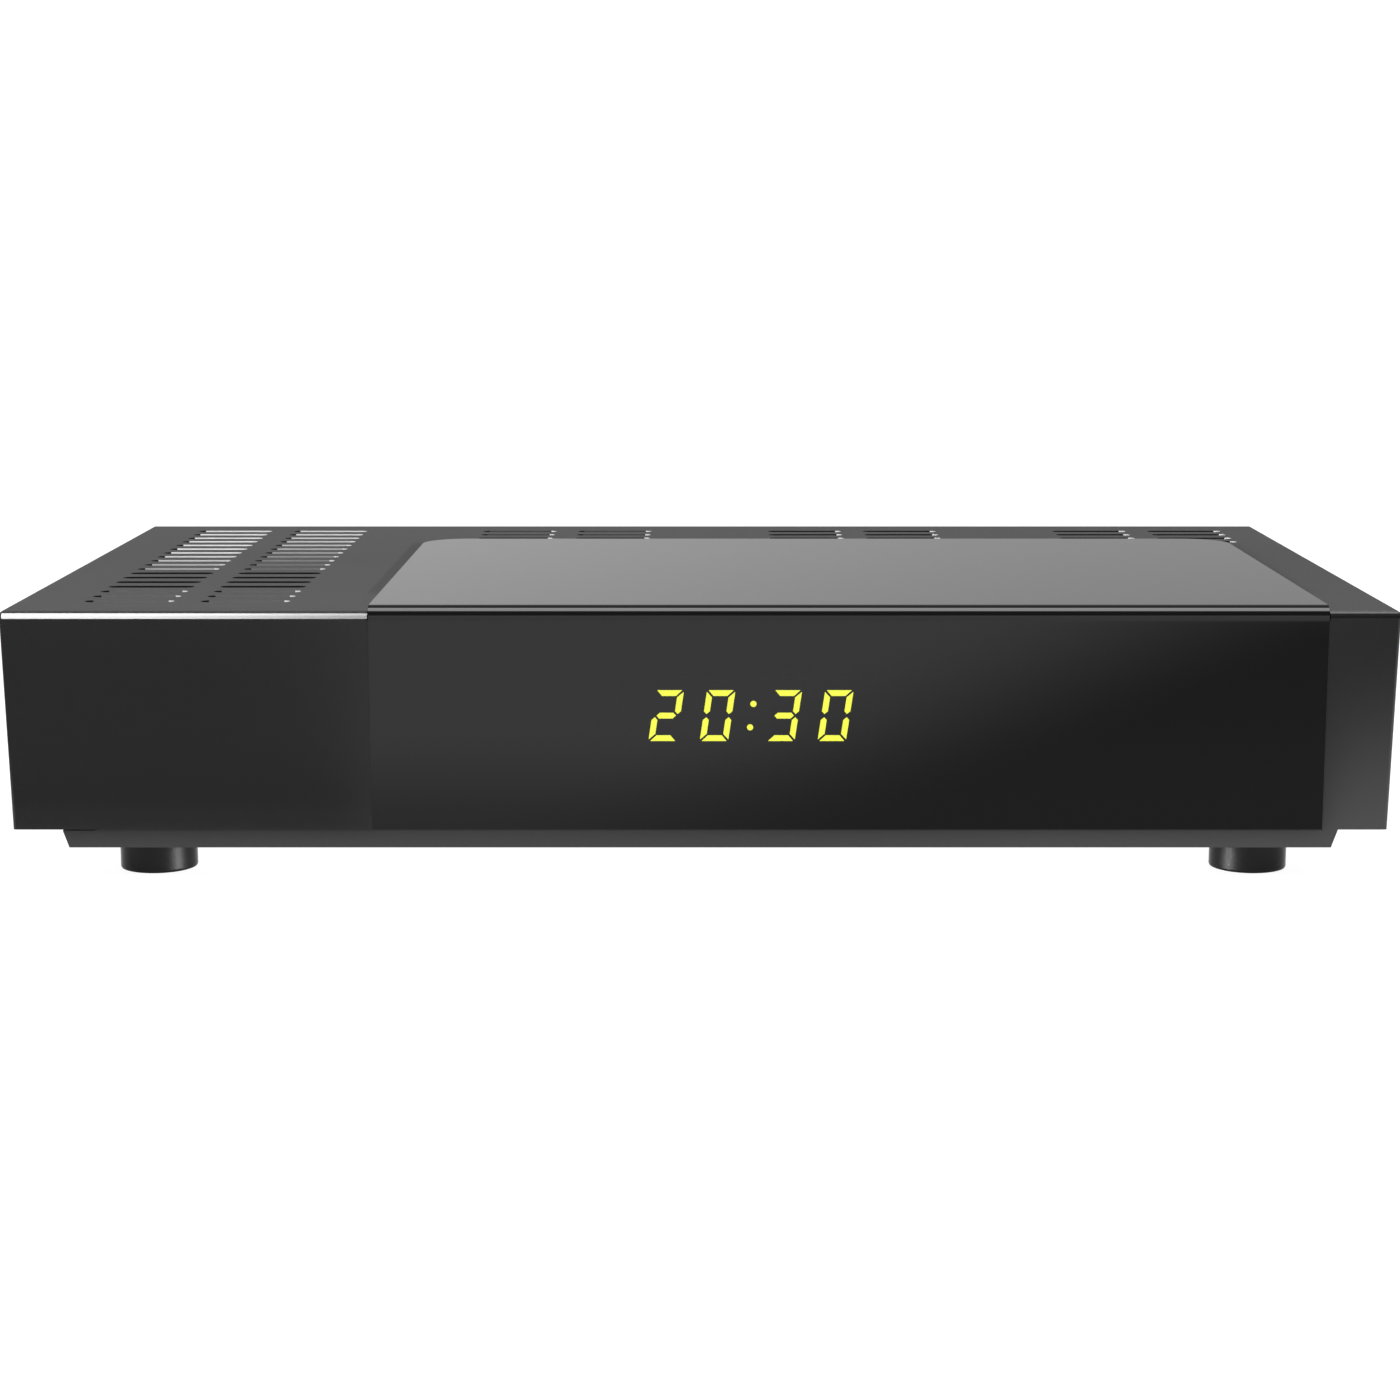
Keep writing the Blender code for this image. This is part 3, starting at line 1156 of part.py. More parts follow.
def build():
    clear_scene()
    make_top_cover()
    make_badge_panel()
    make_display_window()
    make_front_bezel()
    make_base_tray()
    make_feet()
    make_case_screws()
    make_clock()
    make_front_board()
    make_ir_receiver()
    make_headers_and_ribbon()
    make_main_board()
    make_processor()
    make_small_parts()
    places = socket_places()
    make_dc_inlet(places["dc"])
    make_shell_socket("usb_socket", places["usb"], USB_SIZE, USB_WALL, USB_TONGUE, "tin")
    make_shell_socket("hdmi_socket", places["hdmi"], HDMI_SIZE, HDMI_WALL, HDMI_TONGUE, "tin")
    make_shell_socket(
        "scart_socket", places["scart"], SCART_SIZE, SCART_WALL, SCART_TONGUE, "black_plastic", SCART_KEY
    )
    make_audio_socket(places["audio"])
    make_tuner(places["tuner"])
    make_rear_panel(places)
    make_switch()


build()
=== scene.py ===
"""The looks of a satellite receiver: its finishes, fine parts, studio and camera."""

import json
import math

import bpy
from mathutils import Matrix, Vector


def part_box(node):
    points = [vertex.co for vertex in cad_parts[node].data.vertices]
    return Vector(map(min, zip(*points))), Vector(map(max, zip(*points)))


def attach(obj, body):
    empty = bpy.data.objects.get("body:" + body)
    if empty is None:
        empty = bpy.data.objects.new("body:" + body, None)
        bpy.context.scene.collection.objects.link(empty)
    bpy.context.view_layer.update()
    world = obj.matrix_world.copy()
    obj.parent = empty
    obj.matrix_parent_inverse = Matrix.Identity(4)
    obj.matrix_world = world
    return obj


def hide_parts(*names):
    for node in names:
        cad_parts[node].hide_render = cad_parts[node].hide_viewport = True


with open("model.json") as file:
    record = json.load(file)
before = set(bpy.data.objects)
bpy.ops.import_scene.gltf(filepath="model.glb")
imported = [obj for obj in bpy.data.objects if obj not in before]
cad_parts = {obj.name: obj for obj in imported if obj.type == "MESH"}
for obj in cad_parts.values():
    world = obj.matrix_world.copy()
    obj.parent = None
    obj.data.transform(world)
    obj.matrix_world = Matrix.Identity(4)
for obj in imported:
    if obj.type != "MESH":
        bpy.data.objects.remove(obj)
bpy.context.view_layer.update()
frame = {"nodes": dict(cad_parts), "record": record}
nodes = frame["nodes"]

MM = 0.001
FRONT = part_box("display_window")[0].y
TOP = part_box("top_cover")[1].z
HOOD_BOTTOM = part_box("top_cover")[0].z
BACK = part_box("top_cover")[1].y
WINDOW_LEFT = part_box("display_window")[0].x
WINDOW_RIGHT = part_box("display_window")[1].x
PLATE_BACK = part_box("display_window")[1].y
CLOCK_LOW, CLOCK_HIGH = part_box("clock_digits")
CLOCK_CENTRE = (CLOCK_LOW + CLOCK_HIGH) / 2

# The photograph's camera
IMAGE_SIDE = 1400
FOCAL_PIXELS = 2834.2
SENSOR = 36.0
CAMERA_RIGHT = 1.59 * MM
CAMERA_AHEAD = 440.66 * MM  # of the front
CAMERA_ABOVE = 60.63 * MM  # the top of the hood
CAMERA_PITCH = math.radians(80.387)
CAMERA_SLIDE = -10.15  # of the picture, in its pixels, as a sliding lens gives


class Shade:
    """One output in a material's nodes. A sum or product of shades adds the Math nodes it needs."""

    def __init__(self, finish, socket):
        self.finish, self.socket = finish, socket

    def calculate(self, operation, *values):
        return self.finish.node("ShaderNodeMath", {"operation": operation}, dict(enumerate(values)))

    def __add__(self, other):
        return self.calculate("ADD", self, other)

    def __radd__(self, other):
        return self.calculate("ADD", other, self)

    def __sub__(self, other):
        return self.calculate("SUBTRACT", self, other)

    def __rsub__(self, other):
        return self.calculate("SUBTRACT", other, self)

    def __mul__(self, other):
        return self.calculate("MULTIPLY", self, other)

    def __rmul__(self, other):
        return self.calculate("MULTIPLY", other, self)

    def __truediv__(self, other):
        return self.calculate("DIVIDE", self, other)

    def power(self, exponent):
        return self.calculate("POWER", self, exponent)

    def distance(self, centre):
        """How far this number is from a centre, always positive."""
        return self.calculate("ABSOLUTE", self - centre)

    def wave(self):
        return self.calculate("SINE", self)

    def at_least(self, other):
        return self.calculate("MAXIMUM", self, other)

    def ramp(self, start, end, low=0.0, high=1.0):
        """Low before start, high past end, and a smooth change between them."""
        settings = {"interpolation_type": "SMOOTHSTEP", "clamp": True}
        sockets = {"Value": self, "From Min": start, "From Max": end, "To Min": low, "To Max": high}
        return self.finish.node("ShaderNodeMapRange", settings, sockets)

    def band(self, centre, half, soft):
        """One inside a band round a centre, and nothing outside it, with soft edges."""
        return 1 - self.distance(centre).ramp(half - soft / 2, half + soft / 2)


class Finish:
    """A material being made. Its Principled shader keeps the fixed values that it is given."""

    def __init__(self, name, fixed):
        self.material = bpy.data.materials.new(name)
        self.material.use_nodes = True
        self.tree = self.material.node_tree
        self.shader = self.tree.nodes["Principled BSDF"]
        self.output = self.tree.nodes["Material Output"]
        for socket, value in fixed.items():
            self.shader.inputs[socket].default_value = value

    def node(self, kind, settings=None, sockets=None, output=0):
        """Adds a node: its settings first, then the values or links of its sockets."""
        made = self.tree.nodes.new(kind)
        for setting, value in (settings or {}).items():
            setattr(made, setting, value)
        for socket, value in (sockets or {}).items():
            self.feed(made.inputs[socket], value)
        return Shade(self, made.outputs[output])

    def feed(self, socket, value):
        if isinstance(value, Shade):
            self.tree.links.new(value.socket, socket)
        else:
            socket.default_value = value

    def place(self, output="Object"):
        """Where a point is on the object, or which way its surface faces."""
        return self.node("ShaderNodeTexCoord", output=output)

    def along(self, axis, of=None):
        return self.node("ShaderNodeSeparateXYZ", sockets={0: of or self.place()}, output=axis)

    def facing(self, axis):
        return self.along(axis, self.place("Normal"))

    def stretched(self, x, y, z):
        """Places on the object with each axis scaled."""
        settings = {"operation": "MULTIPLY"}
        return self.node("ShaderNodeVectorMath", settings, {0: self.place(), 1: (x, y, z)})

    def noise(self, size, detail=3.0, rough=0.5, of=None):
        """Noise from 0 to 1, with lumps of about a size in metres."""
        sockets = {"Scale": 1 / size, "Detail": detail, "Roughness": rough}
        sockets["Vector"] = of or self.place()
        return self.node("ShaderNodeTexNoise", {}, sockets)

    def cells(self, size, output="Distance", feature="F1"):
        sockets = {"Vector": self.place(), "Scale": 1 / size}
        return self.node("ShaderNodeTexVoronoi", {"feature": feature}, sockets, output)

    def blend(self, share, first, second):
        """One colour or shade of colour over another, by a share."""
        first, second = (
            value if isinstance(value, Shade) else (*value, 1.0) for value in (first, second)
        )
        return self.node("ShaderNodeMix", {"data_type": "RGBA"}, {0: share, 6: first, 7: second}, 2)

    def bump(self, height, depth):
        """A normal from a height from 0 to 1, over a depth in metres."""
        return self.node("ShaderNodeBump", {}, {"Height": height, "Distance": depth, "Strength": 1.0})

    def wear(self, sockets):
        """Feeds shades to the Principled shader."""
        for name, value in sockets.items():
            self.feed(self.shader.inputs[name], value)
        return self


def grey(level):
    """A neutral colour from an 8-bit display level."""
    share = level / 255
    linear = share / 12.92 if share <= 0.04045 else ((share + 0.055) / 1.055) ** 2.4
    return (linear, linear, linear)


# Where the hood's vents lie. Rows are counted from the front
VENT_FIRST = FRONT + 12.7 * MM
VENT_PITCH = 6.1176 * MM
# Rows of the cut edges' painted light: the paint lightened up to the first count, painted shade up to
# the second, painted highlights past it, faint painted light past the last
LIT_PAINT_ROWS = 2.5
DARK_ROWS = 6.5
LAST_ROWS = 15.5
ROW_SOFT = 0.2
LEFT_LIGHT = (7, 12, 0.5, 1.0)  # from and to a row, from and to a share of light
RIGHT_LIGHT = (7, 17, 0.2, 0.85)
VENT_ZONE_FRONT = FRONT + 9 * MM
VENT_ZONE_BACK = BACK - 6 * MM
VENT_ZONE_HALF = 104 * MM
HIGHLIGHT_RIGHT = -60 * MM
SECOND_COLUMN = -82.7 * MM
HOOD_SHEET = 0.8 * MM
WALL_SOFT = 0.1 * MM
# Colours of the cut edges' painted light: painted shade, painted highlight, and the paint lightened
PAINTED_SHADE = (0.002, 0.002, 0.002)
PAINTED_HIGHLIGHT = (0.95, 0.95, 0.95)
LIT_PAINT_EDGE = (0.16, 0.16, 0.16)

# The painted shadow on the hood beside the window's plate
PLATE_SHADOW_LEFT = 2.6 * MM
PLATE_SHADOW_RIGHT = 4 * MM
PLATE_SHADOW_START = FRONT + 20 * MM
PLATE_SHADOW_SHARE = 0.75
SHADOW_SOFT_LEFT = 0.3 * MM
SHADOW_SOFT_START = 5 * MM
SHADOW_SOFT_BACK = 3 * MM


def vent_edges(finish, paint):
    """The vents' cut edges, with painted light: painted highlights far back at the left, painted shade
    in between, the paint lightened in front.
    """
    x, y, z = (finish.along(axis) for axis in range(3))
    row = (y - VENT_FIRST) / VENT_PITCH
    wall = finish.facing(2).distance(0).ramp(0.3, 0.5, 1.0, 0.0)
    wall = wall * x.band(0, VENT_ZONE_HALF, MM) * z.ramp(TOP - HOOD_SHEET - WALL_SOFT, TOP - HOOD_SHEET)
    wall = wall * finish.facing(1).ramp(0.3, 0.5, 1.0, 0.0)
    wall = wall * y.ramp(VENT_ZONE_FRONT, VENT_ZONE_FRONT + MM)
    wall = wall * y.ramp(VENT_ZONE_BACK, VENT_ZONE_BACK + MM, 1.0, 0.0)
    past_dark = row.ramp(DARK_ROWS - ROW_SOFT, DARK_ROWS + ROW_SOFT)
    past_lit_paint = row.ramp(LIT_PAINT_ROWS - ROW_SOFT, LIT_PAINT_ROWS + ROW_SOFT)
    left_light = row.ramp(*LEFT_LIGHT)
    right_light = row.ramp(*RIGHT_LIGHT)
    second = x.ramp(SECOND_COLUMN - MM, SECOND_COLUMN + MM)
    light = (left_light + (right_light - left_light) * second) * past_dark
    far = row.ramp(LAST_ROWS - ROW_SOFT, LAST_ROWS + ROW_SOFT) * x.ramp(-MM, MM, 0.07, 0.0)
    middle = x.ramp(HIGHLIGHT_RIGHT - MM, HIGHLIGHT_RIGHT + MM)
    light = light + (far - light) * middle
    ends = finish.facing(0)
    left_end = ends.ramp(0.15, 0.25)
    right_end = ends.ramp(-0.25, -0.15, 1.0, 0.0)
    lit_row = past_dark + (1 - past_lit_paint)
    light = light * (1 - right_end) + lit_row * right_end
    # Painted highlights and painted shade on the cut edges, then the paint lightened on the front rows
    painted_glint = finish.blend(light * (1 - left_end), PAINTED_SHADE, PAINTED_HIGHLIGHT)
    lit_paint_row = (1 - past_lit_paint) * (1 - right_end) * (1 - left_end) * (1 - middle)
    edge = finish.blend(lit_paint_row, painted_glint, LIT_PAINT_EDGE)
    return finish.blend(wall, paint, edge)


# Finishes
def cover_paint():
    finish = Finish("cover_paint", {"Specular IOR Level": 0.2})
    grain = finish.noise(0.35 * MM, 4.0, 0.6)
    mottle = finish.noise(14 * MM, 2.0)
    x, y = finish.along(0), finish.along(1)
    edge = WINDOW_LEFT - PLATE_SHADOW_LEFT
    left = x.ramp(edge - SHADOW_SOFT_LEFT, edge)
    right = x.ramp(WINDOW_RIGHT, WINDOW_RIGHT + PLATE_SHADOW_RIGHT, 1.0, 0.0)
    beside = left * right
    beside = beside * y.ramp(PLATE_BACK - SHADOW_SOFT_BACK, PLATE_BACK + SHADOW_SOFT_BACK, 1.0, 0.0)
    beside = beside * y.ramp(PLATE_SHADOW_START, PLATE_SHADOW_START + SHADOW_SOFT_START)
    beside = beside * finish.facing(2).ramp(0.5, 0.9)
    # The paint lightens towards the back: painted light. The grain and mottle are the paint's own.
    tone = (grain * 0.35 + mottle * 0.4 + y.ramp(0, BACK, 0.0, 0.7)) * (1 - beside)
    paint = finish.blend(tone, grey(52), grey(59))
    # The painted shadow beside the plate, then the vents' painted light
    colour = vent_edges(finish, finish.blend(beside * PLATE_SHADOW_SHARE, paint, grey(43)))
    finish.wear({
        "Base Color": colour,
        "Roughness": 0.55 + grain * 0.12,
        "Normal": finish.bump(grain, 0.02 * MM),
    })
    return finish.material


BADGE_FOOT = 3 * MM  # how far up its bottom edge is darker


def badge_plastic():
    finish = Finish("badge_plastic", {"Specular IOR Level": 0.4})
    grain = finish.noise(0.22 * MM, 3.0, 0.7)
    rounding = finish.facing(2).ramp(0.05, 0.3)
    low = finish.along(2).ramp(HOOD_BOTTOM, HOOD_BOTTOM + BADGE_FOOT, 0.9, 0.0)
    finish.wear({
        "Base Color": finish.blend(low, finish.blend(grain, grey(21), grey(26)), grey(3)),
        "Roughness": 0.15 + grain * 0.05 + rounding * 0.08,
        "Normal": finish.bump(grain * (1 - rounding), 0.012 * MM),
    })
    return finish.material


def bezel_plastic():
    finish = Finish("bezel_plastic", {"Specular IOR Level": 0.5})
    grain = finish.noise(0.25 * MM, 3.0, 0.6)
    finish.wear({
        "Base Color": finish.blend(grain, grey(24), grey(29)),
        "Roughness": 0.16 + grain * 0.06,
        "Normal": finish.bump(grain, 0.004 * MM),
    })
    return finish.material


# The window: how dark it is, what shines through, and the patch left clear in front of the clock
SMOKE = (0.0015, 0.0015, 0.0016, 1)
TINT = (0.15, 0.15, 0.145, 1)
CLEAR_HALF_WIDTH = 20 * MM
CLEAR_HALF_HEIGHT = 7 * MM
CLEAR_SOFT = 2 * MM
CLEAR_BACK = (FRONT + 2 * MM, FRONT + 3 * MM)
INSIDE = (FRONT + 0.5 * MM, FRONT + 0.6 * MM)


def window_acrylic():
    """Smoked acrylic, painted black behind, with a patch left clear in front of the clock."""
    finish = Finish("window_acrylic", {"Specular IOR Level": 0.5, "Base Color": SMOKE})
    haze = finish.noise(30 * MM, 2.0)
    finish.wear({"Roughness": 0.012 + haze * 0.012})
    x, y, z = (finish.along(axis) for axis in range(3))
    clear = x.band(CLOCK_CENTRE.x, CLEAR_HALF_WIDTH, CLEAR_SOFT)
    clear = clear * z.band(CLOCK_CENTRE.z, CLEAR_HALF_HEIGHT, CLEAR_SOFT)
    clear = clear * y.ramp(*CLEAR_BACK, 1.0, 0.0)
    gloss = Shade(finish, finish.shader.outputs[0])
    tint = finish.node("ShaderNodeBsdfTransparent", {}, {"Color": TINT})
    through = finish.node("ShaderNodeAddShader", {}, {0: gloss, 1: tint})
    outside = finish.node("ShaderNodeMixShader", {}, {0: clear, 1: gloss, 2: through})
    open_inside = clear * y.ramp(*INSIDE)
    plain = finish.node("ShaderNodeBsdfTransparent")
    mixed = finish.node("ShaderNodeMixShader", {}, {0: open_inside, 1: outside, 2: plain})
    finish.feed(finish.output.inputs["Surface"], mixed)
    return finish.material


# The clock: bright enough to show through the tint, and lit only where its bars reach forward
CLOCK_GLOW = 6.6
BAR_FRONTS = (CLOCK_LOW.y + 0.02 * MM, CLOCK_LOW.y + 0.06 * MM)


def clock_light():
    """A black face, with lit bars standing on it."""
    fixed = {"Roughness": 0.5, "Specular IOR Level": 0.0, "Emission Strength": CLOCK_GLOW}
    finish = Finish("clock_light", fixed)
    lit = 1 - finish.along(1).ramp(*BAR_FRONTS)
    finish.wear({
        "Base Color": finish.blend(lit, (0.004, 0.004, 0.004), (0.6, 0.55, 0.05)),
        "Emission Color": finish.blend(lit, (0, 0, 0), (0.93, 0.98, 0.07)),
    })
    return finish.material


def black_moulding(name, level, rough, gloss=0.4):
    finish = Finish(name, {"Specular IOR Level": gloss})
    grain = finish.noise(0.3 * MM, 3.0, 0.6)
    finish.wear({
        "Base Color": finish.blend(grain, grey(level - 4), grey(level + 4)),
        "Roughness": rough + grain * 0.12,
        "Normal": finish.bump(grain, 0.01 * MM),
    })
    return finish.material


def sheet_metal(name, colour, rough):
    """Plated sheet, with fine rolling lines along X and faint spangle."""
    finish = Finish(name, {"Metallic": 1.0})
    lines = finish.noise(0.4 * MM, 4.0, 0.6, finish.stretched(0.03, 1, 1))
    spangle = finish.cells(7 * MM, "Color")
    tone = finish.along(0, spangle) * 0.5 + lines * 0.5
    darker = tuple(part * 0.8 for part in colour)
    finish.wear({
        "Base Color": finish.blend(tone, darker, colour),
        "Roughness": rough + tone * 0.16,
        "Normal": finish.bump(lines, 0.006 * MM),
    })
    return finish.material


def plated(name, colour, rough):
    finish = Finish(name, {"Metallic": 1.0})
    haze = finish.noise(1.2 * MM, 4.0, 0.6)
    darker = tuple(part * 0.82 for part in colour)
    finish.wear({
        "Base Color": finish.blend(haze, darker, colour),
        "Roughness": rough + haze * 0.12,
    })
    return finish.material


# Plastic tongues in the metal sockets: half width and half height
TONGUES = {"usb_socket": (5.3 * MM, 1.0 * MM), "hdmi_socket": (5.9 * MM, 0.6 * MM)}
TONGUE_SOFT = 0.05 * MM


def socket_metal(node):
    """Tin plate, with a black plastic tongue in the middle of the socket."""
    finish = Finish(node + "_metal", {})
    low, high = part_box(node)
    half_width, half_height = TONGUES[node]
    tongue = finish.along(0).band((low.x + high.x) / 2, half_width, TONGUE_SOFT)
    tongue = tongue * finish.along(2).band((low.z + high.z) / 2, half_height, TONGUE_SOFT)
    haze = finish.noise(1.2 * MM, 4.0, 0.6)
    tin = finish.blend(haze, (0.55, 0.54, 0.51), (0.66, 0.65, 0.62))
    finish.wear({
        "Base Color": finish.blend(tongue, tin, (0.012, 0.012, 0.013)),
        "Metallic": 1 - tongue,
        "Roughness": 0.22 + haze * 0.12 + tongue * 0.15,
    })
    return finish.material


# Marks printed on the rocker: a bar on the pressed half and a ring on the raised one
BAR_ACROSS = 4.18 * MM
RING_ACROSS = -2.74 * MM
RING_RADIUS = 1.15 * MM
MARK_HALF = 0.17 * MM
MARK_SOFT = 0.05 * MM
MARK_PAINT = (0.72, 0.72, 0.71)


def rocker_plastic():
    """Black moulding with its two marks in white paint."""
    finish = Finish("rocker_plastic", {"Specular IOR Level": 0.4})
    grain = finish.noise(0.3 * MM, 3.0, 0.6)
    low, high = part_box("switch_housing")
    x, z = finish.along(0) - (low.x + high.x) / 2, finish.along(2) - (low.z + high.z) / 2
    bar = x.band(BAR_ACROSS, MARK_HALF, MARK_SOFT) * z.band(0, RING_RADIUS + MARK_HALF, MARK_SOFT)
    from_ring = x - RING_ACROSS
    reach = (from_ring * from_ring + z * z).power(0.5)
    mark = bar.at_least(reach.band(RING_RADIUS, MARK_HALF, MARK_SOFT)) * finish.facing(1).ramp(0.8, 0.9)
    finish.wear({
        "Base Color": finish.blend(mark, finish.blend(grain, grey(28), grey(36)), MARK_PAINT),
        "Roughness": 0.32 + grain * 0.12 + mark * 0.1,
        "Normal": finish.bump(grain, 0.01 * MM),
    })
    return finish.material


def circuit_board():
    """Green solder mask over copper tracks."""
    finish = Finish("circuit_board", {"Coat Weight": 0.4, "Coat Roughness": 0.15})
    tracks = finish.cells(3.2 * MM, "Distance", "DISTANCE_TO_EDGE").ramp(0.03, 0.05, 1.0, 0.0)
    finish.wear({
        "Base Color": finish.blend(tracks, (0.012, 0.075, 0.028), (0.03, 0.17, 0.05)),
        "Roughness": 0.35 + tracks * 0.1,
        "Normal": finish.bump(tracks, 0.03 * MM),
    })
    return finish.material


def plain_moulding(name, low, high, rough):
    finish = Finish(name, {})
    grain = finish.noise(0.5 * MM, 3.0)
    finish.wear({
        "Base Color": finish.blend(grain, low, high),
        "Roughness": rough + grain * 0.1,
        "Normal": finish.bump(grain, 0.01 * MM),
    })
    return finish.material


def ribbon_sleeve():
    finish = Finish("ribbon_sleeve", {})
    wires = (finish.along(0) * (math.tau / (1.0 * MM))).wave()
    finish.wear({
        "Base Color": finish.blend(wires.ramp(-1, 1), (0.2, 0.21, 0.22), (0.34, 0.35, 0.37)),
        "Roughness": 0.5 + wires * 0.05,
        "Normal": finish.bump(wires.ramp(-1, 1), 0.2 * MM),
    })
    return finish.material


def assign_finishes():
    by_slot = {
        "cover_paint": cover_paint(),
        "bare_sheet": sheet_metal("bare_sheet", (0.56, 0.565, 0.57), 0.3),
        "badge_plastic": badge_plastic(),
        "bezel_plastic": bezel_plastic(),
        "window_acrylic": window_acrylic(),
        "foot_plastic": black_moulding("foot_plastic", 31, 0.18, 0.08),
        "clock_light": clock_light(),
        "black_plastic": black_moulding("black_plastic", 34, 0.35),
        "header_plastic": plain_moulding("header_plastic", (0.62, 0.6, 0.53), (0.72, 0.7, 0.64), 0.42),
        "ribbon_sleeve": ribbon_sleeve(),
        "circuit_board": circuit_board(),
        "chip_plastic": black_moulding("chip_plastic", 38, 0.5),
        "heatsink_metal": sheet_metal("heatsink_metal", (0.7, 0.71, 0.72), 0.32),
        "tinned_metal": plated("tinned_metal", (0.66, 0.65, 0.62), 0.22),
        "nickel_plate": plated("nickel_plate", (0.68, 0.64, 0.57), 0.14),
        "screw_steel": plated("screw_steel", (0.42, 0.42, 0.43), 0.28),
    }
    for entry in frame["record"]["subparts"]:
        for slot in nodes[entry["node"]].material_slots:
            slot.material = by_slot[entry["material_slot"]]
    for node in TONGUES:
        nodes[node].material_slots[0].material = socket_metal(node)
    return by_slot


# Pieces that add what the solids leave out
FINE_STEPS = 96
SCREW_STEPS = 32


def start_piece(name):
    """Names the new primitive and opens it, all selected, to be shaped."""
    piece = bpy.context.object
    piece.name = name
    bpy.ops.object.mode_set(mode="EDIT")
    bpy.ops.mesh.select_all(action="SELECT")
    return piece


def end_piece(piece, slot, body="case", stands_for=None, angle=30):
    """Closes a piece: normals outward, a finish, the body it rides on, and what it stands for."""
    bpy.ops.mesh.select_all(action="SELECT")
    bpy.ops.mesh.normals_make_consistent(inside=False)
    bpy.ops.object.mode_set(mode="OBJECT")
    bpy.ops.object.shade_smooth_by_angle(angle=math.radians(angle))
    piece.data.materials.clear()
    piece.data.materials.append(finishes[slot])
    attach(piece, body)
    if stands_for:
        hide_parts(stands_for)
    return piece


def lay_along(axis):
    """Turns what is selected from +Z to +Y or -Z. With no window the operator turns the other way."""
    turns = {"Y": math.pi / 2, "-Z": math.pi}
    if axis in turns:
        bpy.ops.transform.rotate(value=turns[axis], orient_axis="X", center_override=(0, 0, 0))


def turned(name, rings, centre, axis, steps=FINE_STEPS):
    """A disc extruded and resized from ring to ring, each a radius and a place along the axis, both
    in millimetres."""
    bpy.ops.object.select_all(action="DESELECT")
    rings = [(radius * MM, along * MM) for radius, along in rings]
    radius, along = rings[0]
    bpy.ops.mesh.primitive_circle_add(vertices=steps, radius=radius, fill_type="NGON")
    piece = start_piece(name)
    bpy.ops.transform.translate(value=(0, 0, along))
    for next_radius, next_along in rings[1:]:
        bpy.ops.mesh.extrude_region_move(TRANSFORM_OT_translate={"value": (0, 0, next_along - along)})
        share = next_radius / radius
        bpy.ops.transform.resize(value=(share, share, 1), center_override=(0, 0, 0))
        radius, along = next_radius, next_along
    bpy.ops.mesh.select_all(action="SELECT")
    lay_along(axis)
    bpy.ops.transform.translate(value=centre)
    return piece


def block_at(low, high):
    """Adds a block between two corners, in an open piece or as a new one."""
    low, high = Vector(low), Vector(high)
    editing = bpy.context.mode == "EDIT_MESH"
    if editing:
        bpy.ops.mesh.select_all(action="DESELECT")
    else:
        bpy.ops.object.select_all(action="DESELECT")
    bpy.ops.mesh.primitive_cube_add(size=1.0)
    if not editing:
        bpy.ops.object.mode_set(mode="EDIT")
    bpy.ops.transform.resize(value=high - low)
    bpy.ops.transform.translate(value=(low + high) / 2)


def open_copy(mesh, name):
    """A new piece with a copy of a mesh, open and all selected."""
    bpy.ops.object.select_all(action="DESELECT")
    piece = bpy.data.objects.new(name, mesh.copy())
    bpy.context.scene.collection.objects.link(piece)
    bpy.context.view_layer.objects.active = piece
    piece.select_set(True)
    bpy.ops.object.mode_set(mode="EDIT")
    bpy.ops.mesh.select_all(action="SELECT")
    return piece


def merged_copy(node, name):
    """A copy of a solid with its loose triangles joined, open to be shaped."""
    piece = open_copy(nodes[node].data, name)
    bpy.ops.mesh.remove_doubles(threshold=0.001 * MM)
    bpy.ops.mesh.dissolve_limited(angle_limit=math.radians(1))
    return piece


def smoothed(node, name, slot):
    """A copy of a solid whose roundings shade smoothly while its flats stay flat, to stand for it."""
    piece = end_piece(merged_copy(node, name), slot, stands_for=node)
    bpy.ops.object.modifier_add(type="WEIGHTED_NORMAL")
    weighting = piece.modifiers[-1]
    weighting.keep_sharp = True
    bpy.ops.object.modifier_apply(modifier=weighting.name)


# How far each lit bar of the clock is slimmed and shortened, so that a dark line shows between two
BAR_SLIM = 0.03 * MM
BAR_SHORTER = 0.17 * MM
BAR_BEVEL = 0.12 * MM


def select_only(piece, faces):
    """Selects some faces, by index, of the piece that is open."""
    bpy.ops.mesh.select_all(action="DESELECT")
    bpy.ops.object.mode_set(mode="OBJECT")
    for index in faces:
        piece.data.polygons[index].select = True
    bpy.ops.object.mode_set(mode="EDIT")


def fine_digits():
    """The clock's bars with sloped edges and clear gaps, to stand for the plain ones."""
    piece = merged_copy("clock_digits", "fine_digits")
    bpy.ops.mesh.select_mode(type="FACE")
    bpy.ops.object.mode_set(mode="OBJECT")
    bars = {}
    for face in piece.data.polygons:
        if face.normal.y < -0.9 and face.center.y < CLOCK_LOW.y + 0.01 * MM:
            corners = [piece.data.vertices[corner].co for corner in face.vertices]
            spans = [max(corner[axis] for corner in corners) - min(corner[axis] for corner in corners)
                     for axis in (0, 2)]
            bars[face.index] = (face.center.copy(), *spans)
    bpy.ops.object.mode_set(mode="EDIT")
    for index, (middle, width, height) in bars.items():
        share = (1 - BAR_SHORTER / width, 1, 1) if width > height else (1, 1, 1 - BAR_SHORTER / height)
        if abs(width - height) > BAR_BEVEL:
            select_only(piece, [index])
            bpy.ops.transform.resize(value=share, center_override=middle)
    select_only(piece, bars)
    bpy.ops.transform.translate(value=(0, BAR_BEVEL, 0))
    bpy.ops.mesh.inset(thickness=BAR_SLIM, depth=BAR_BEVEL, use_individual=True)
    end_piece(piece, "clock_light", stands_for="clock_digits")


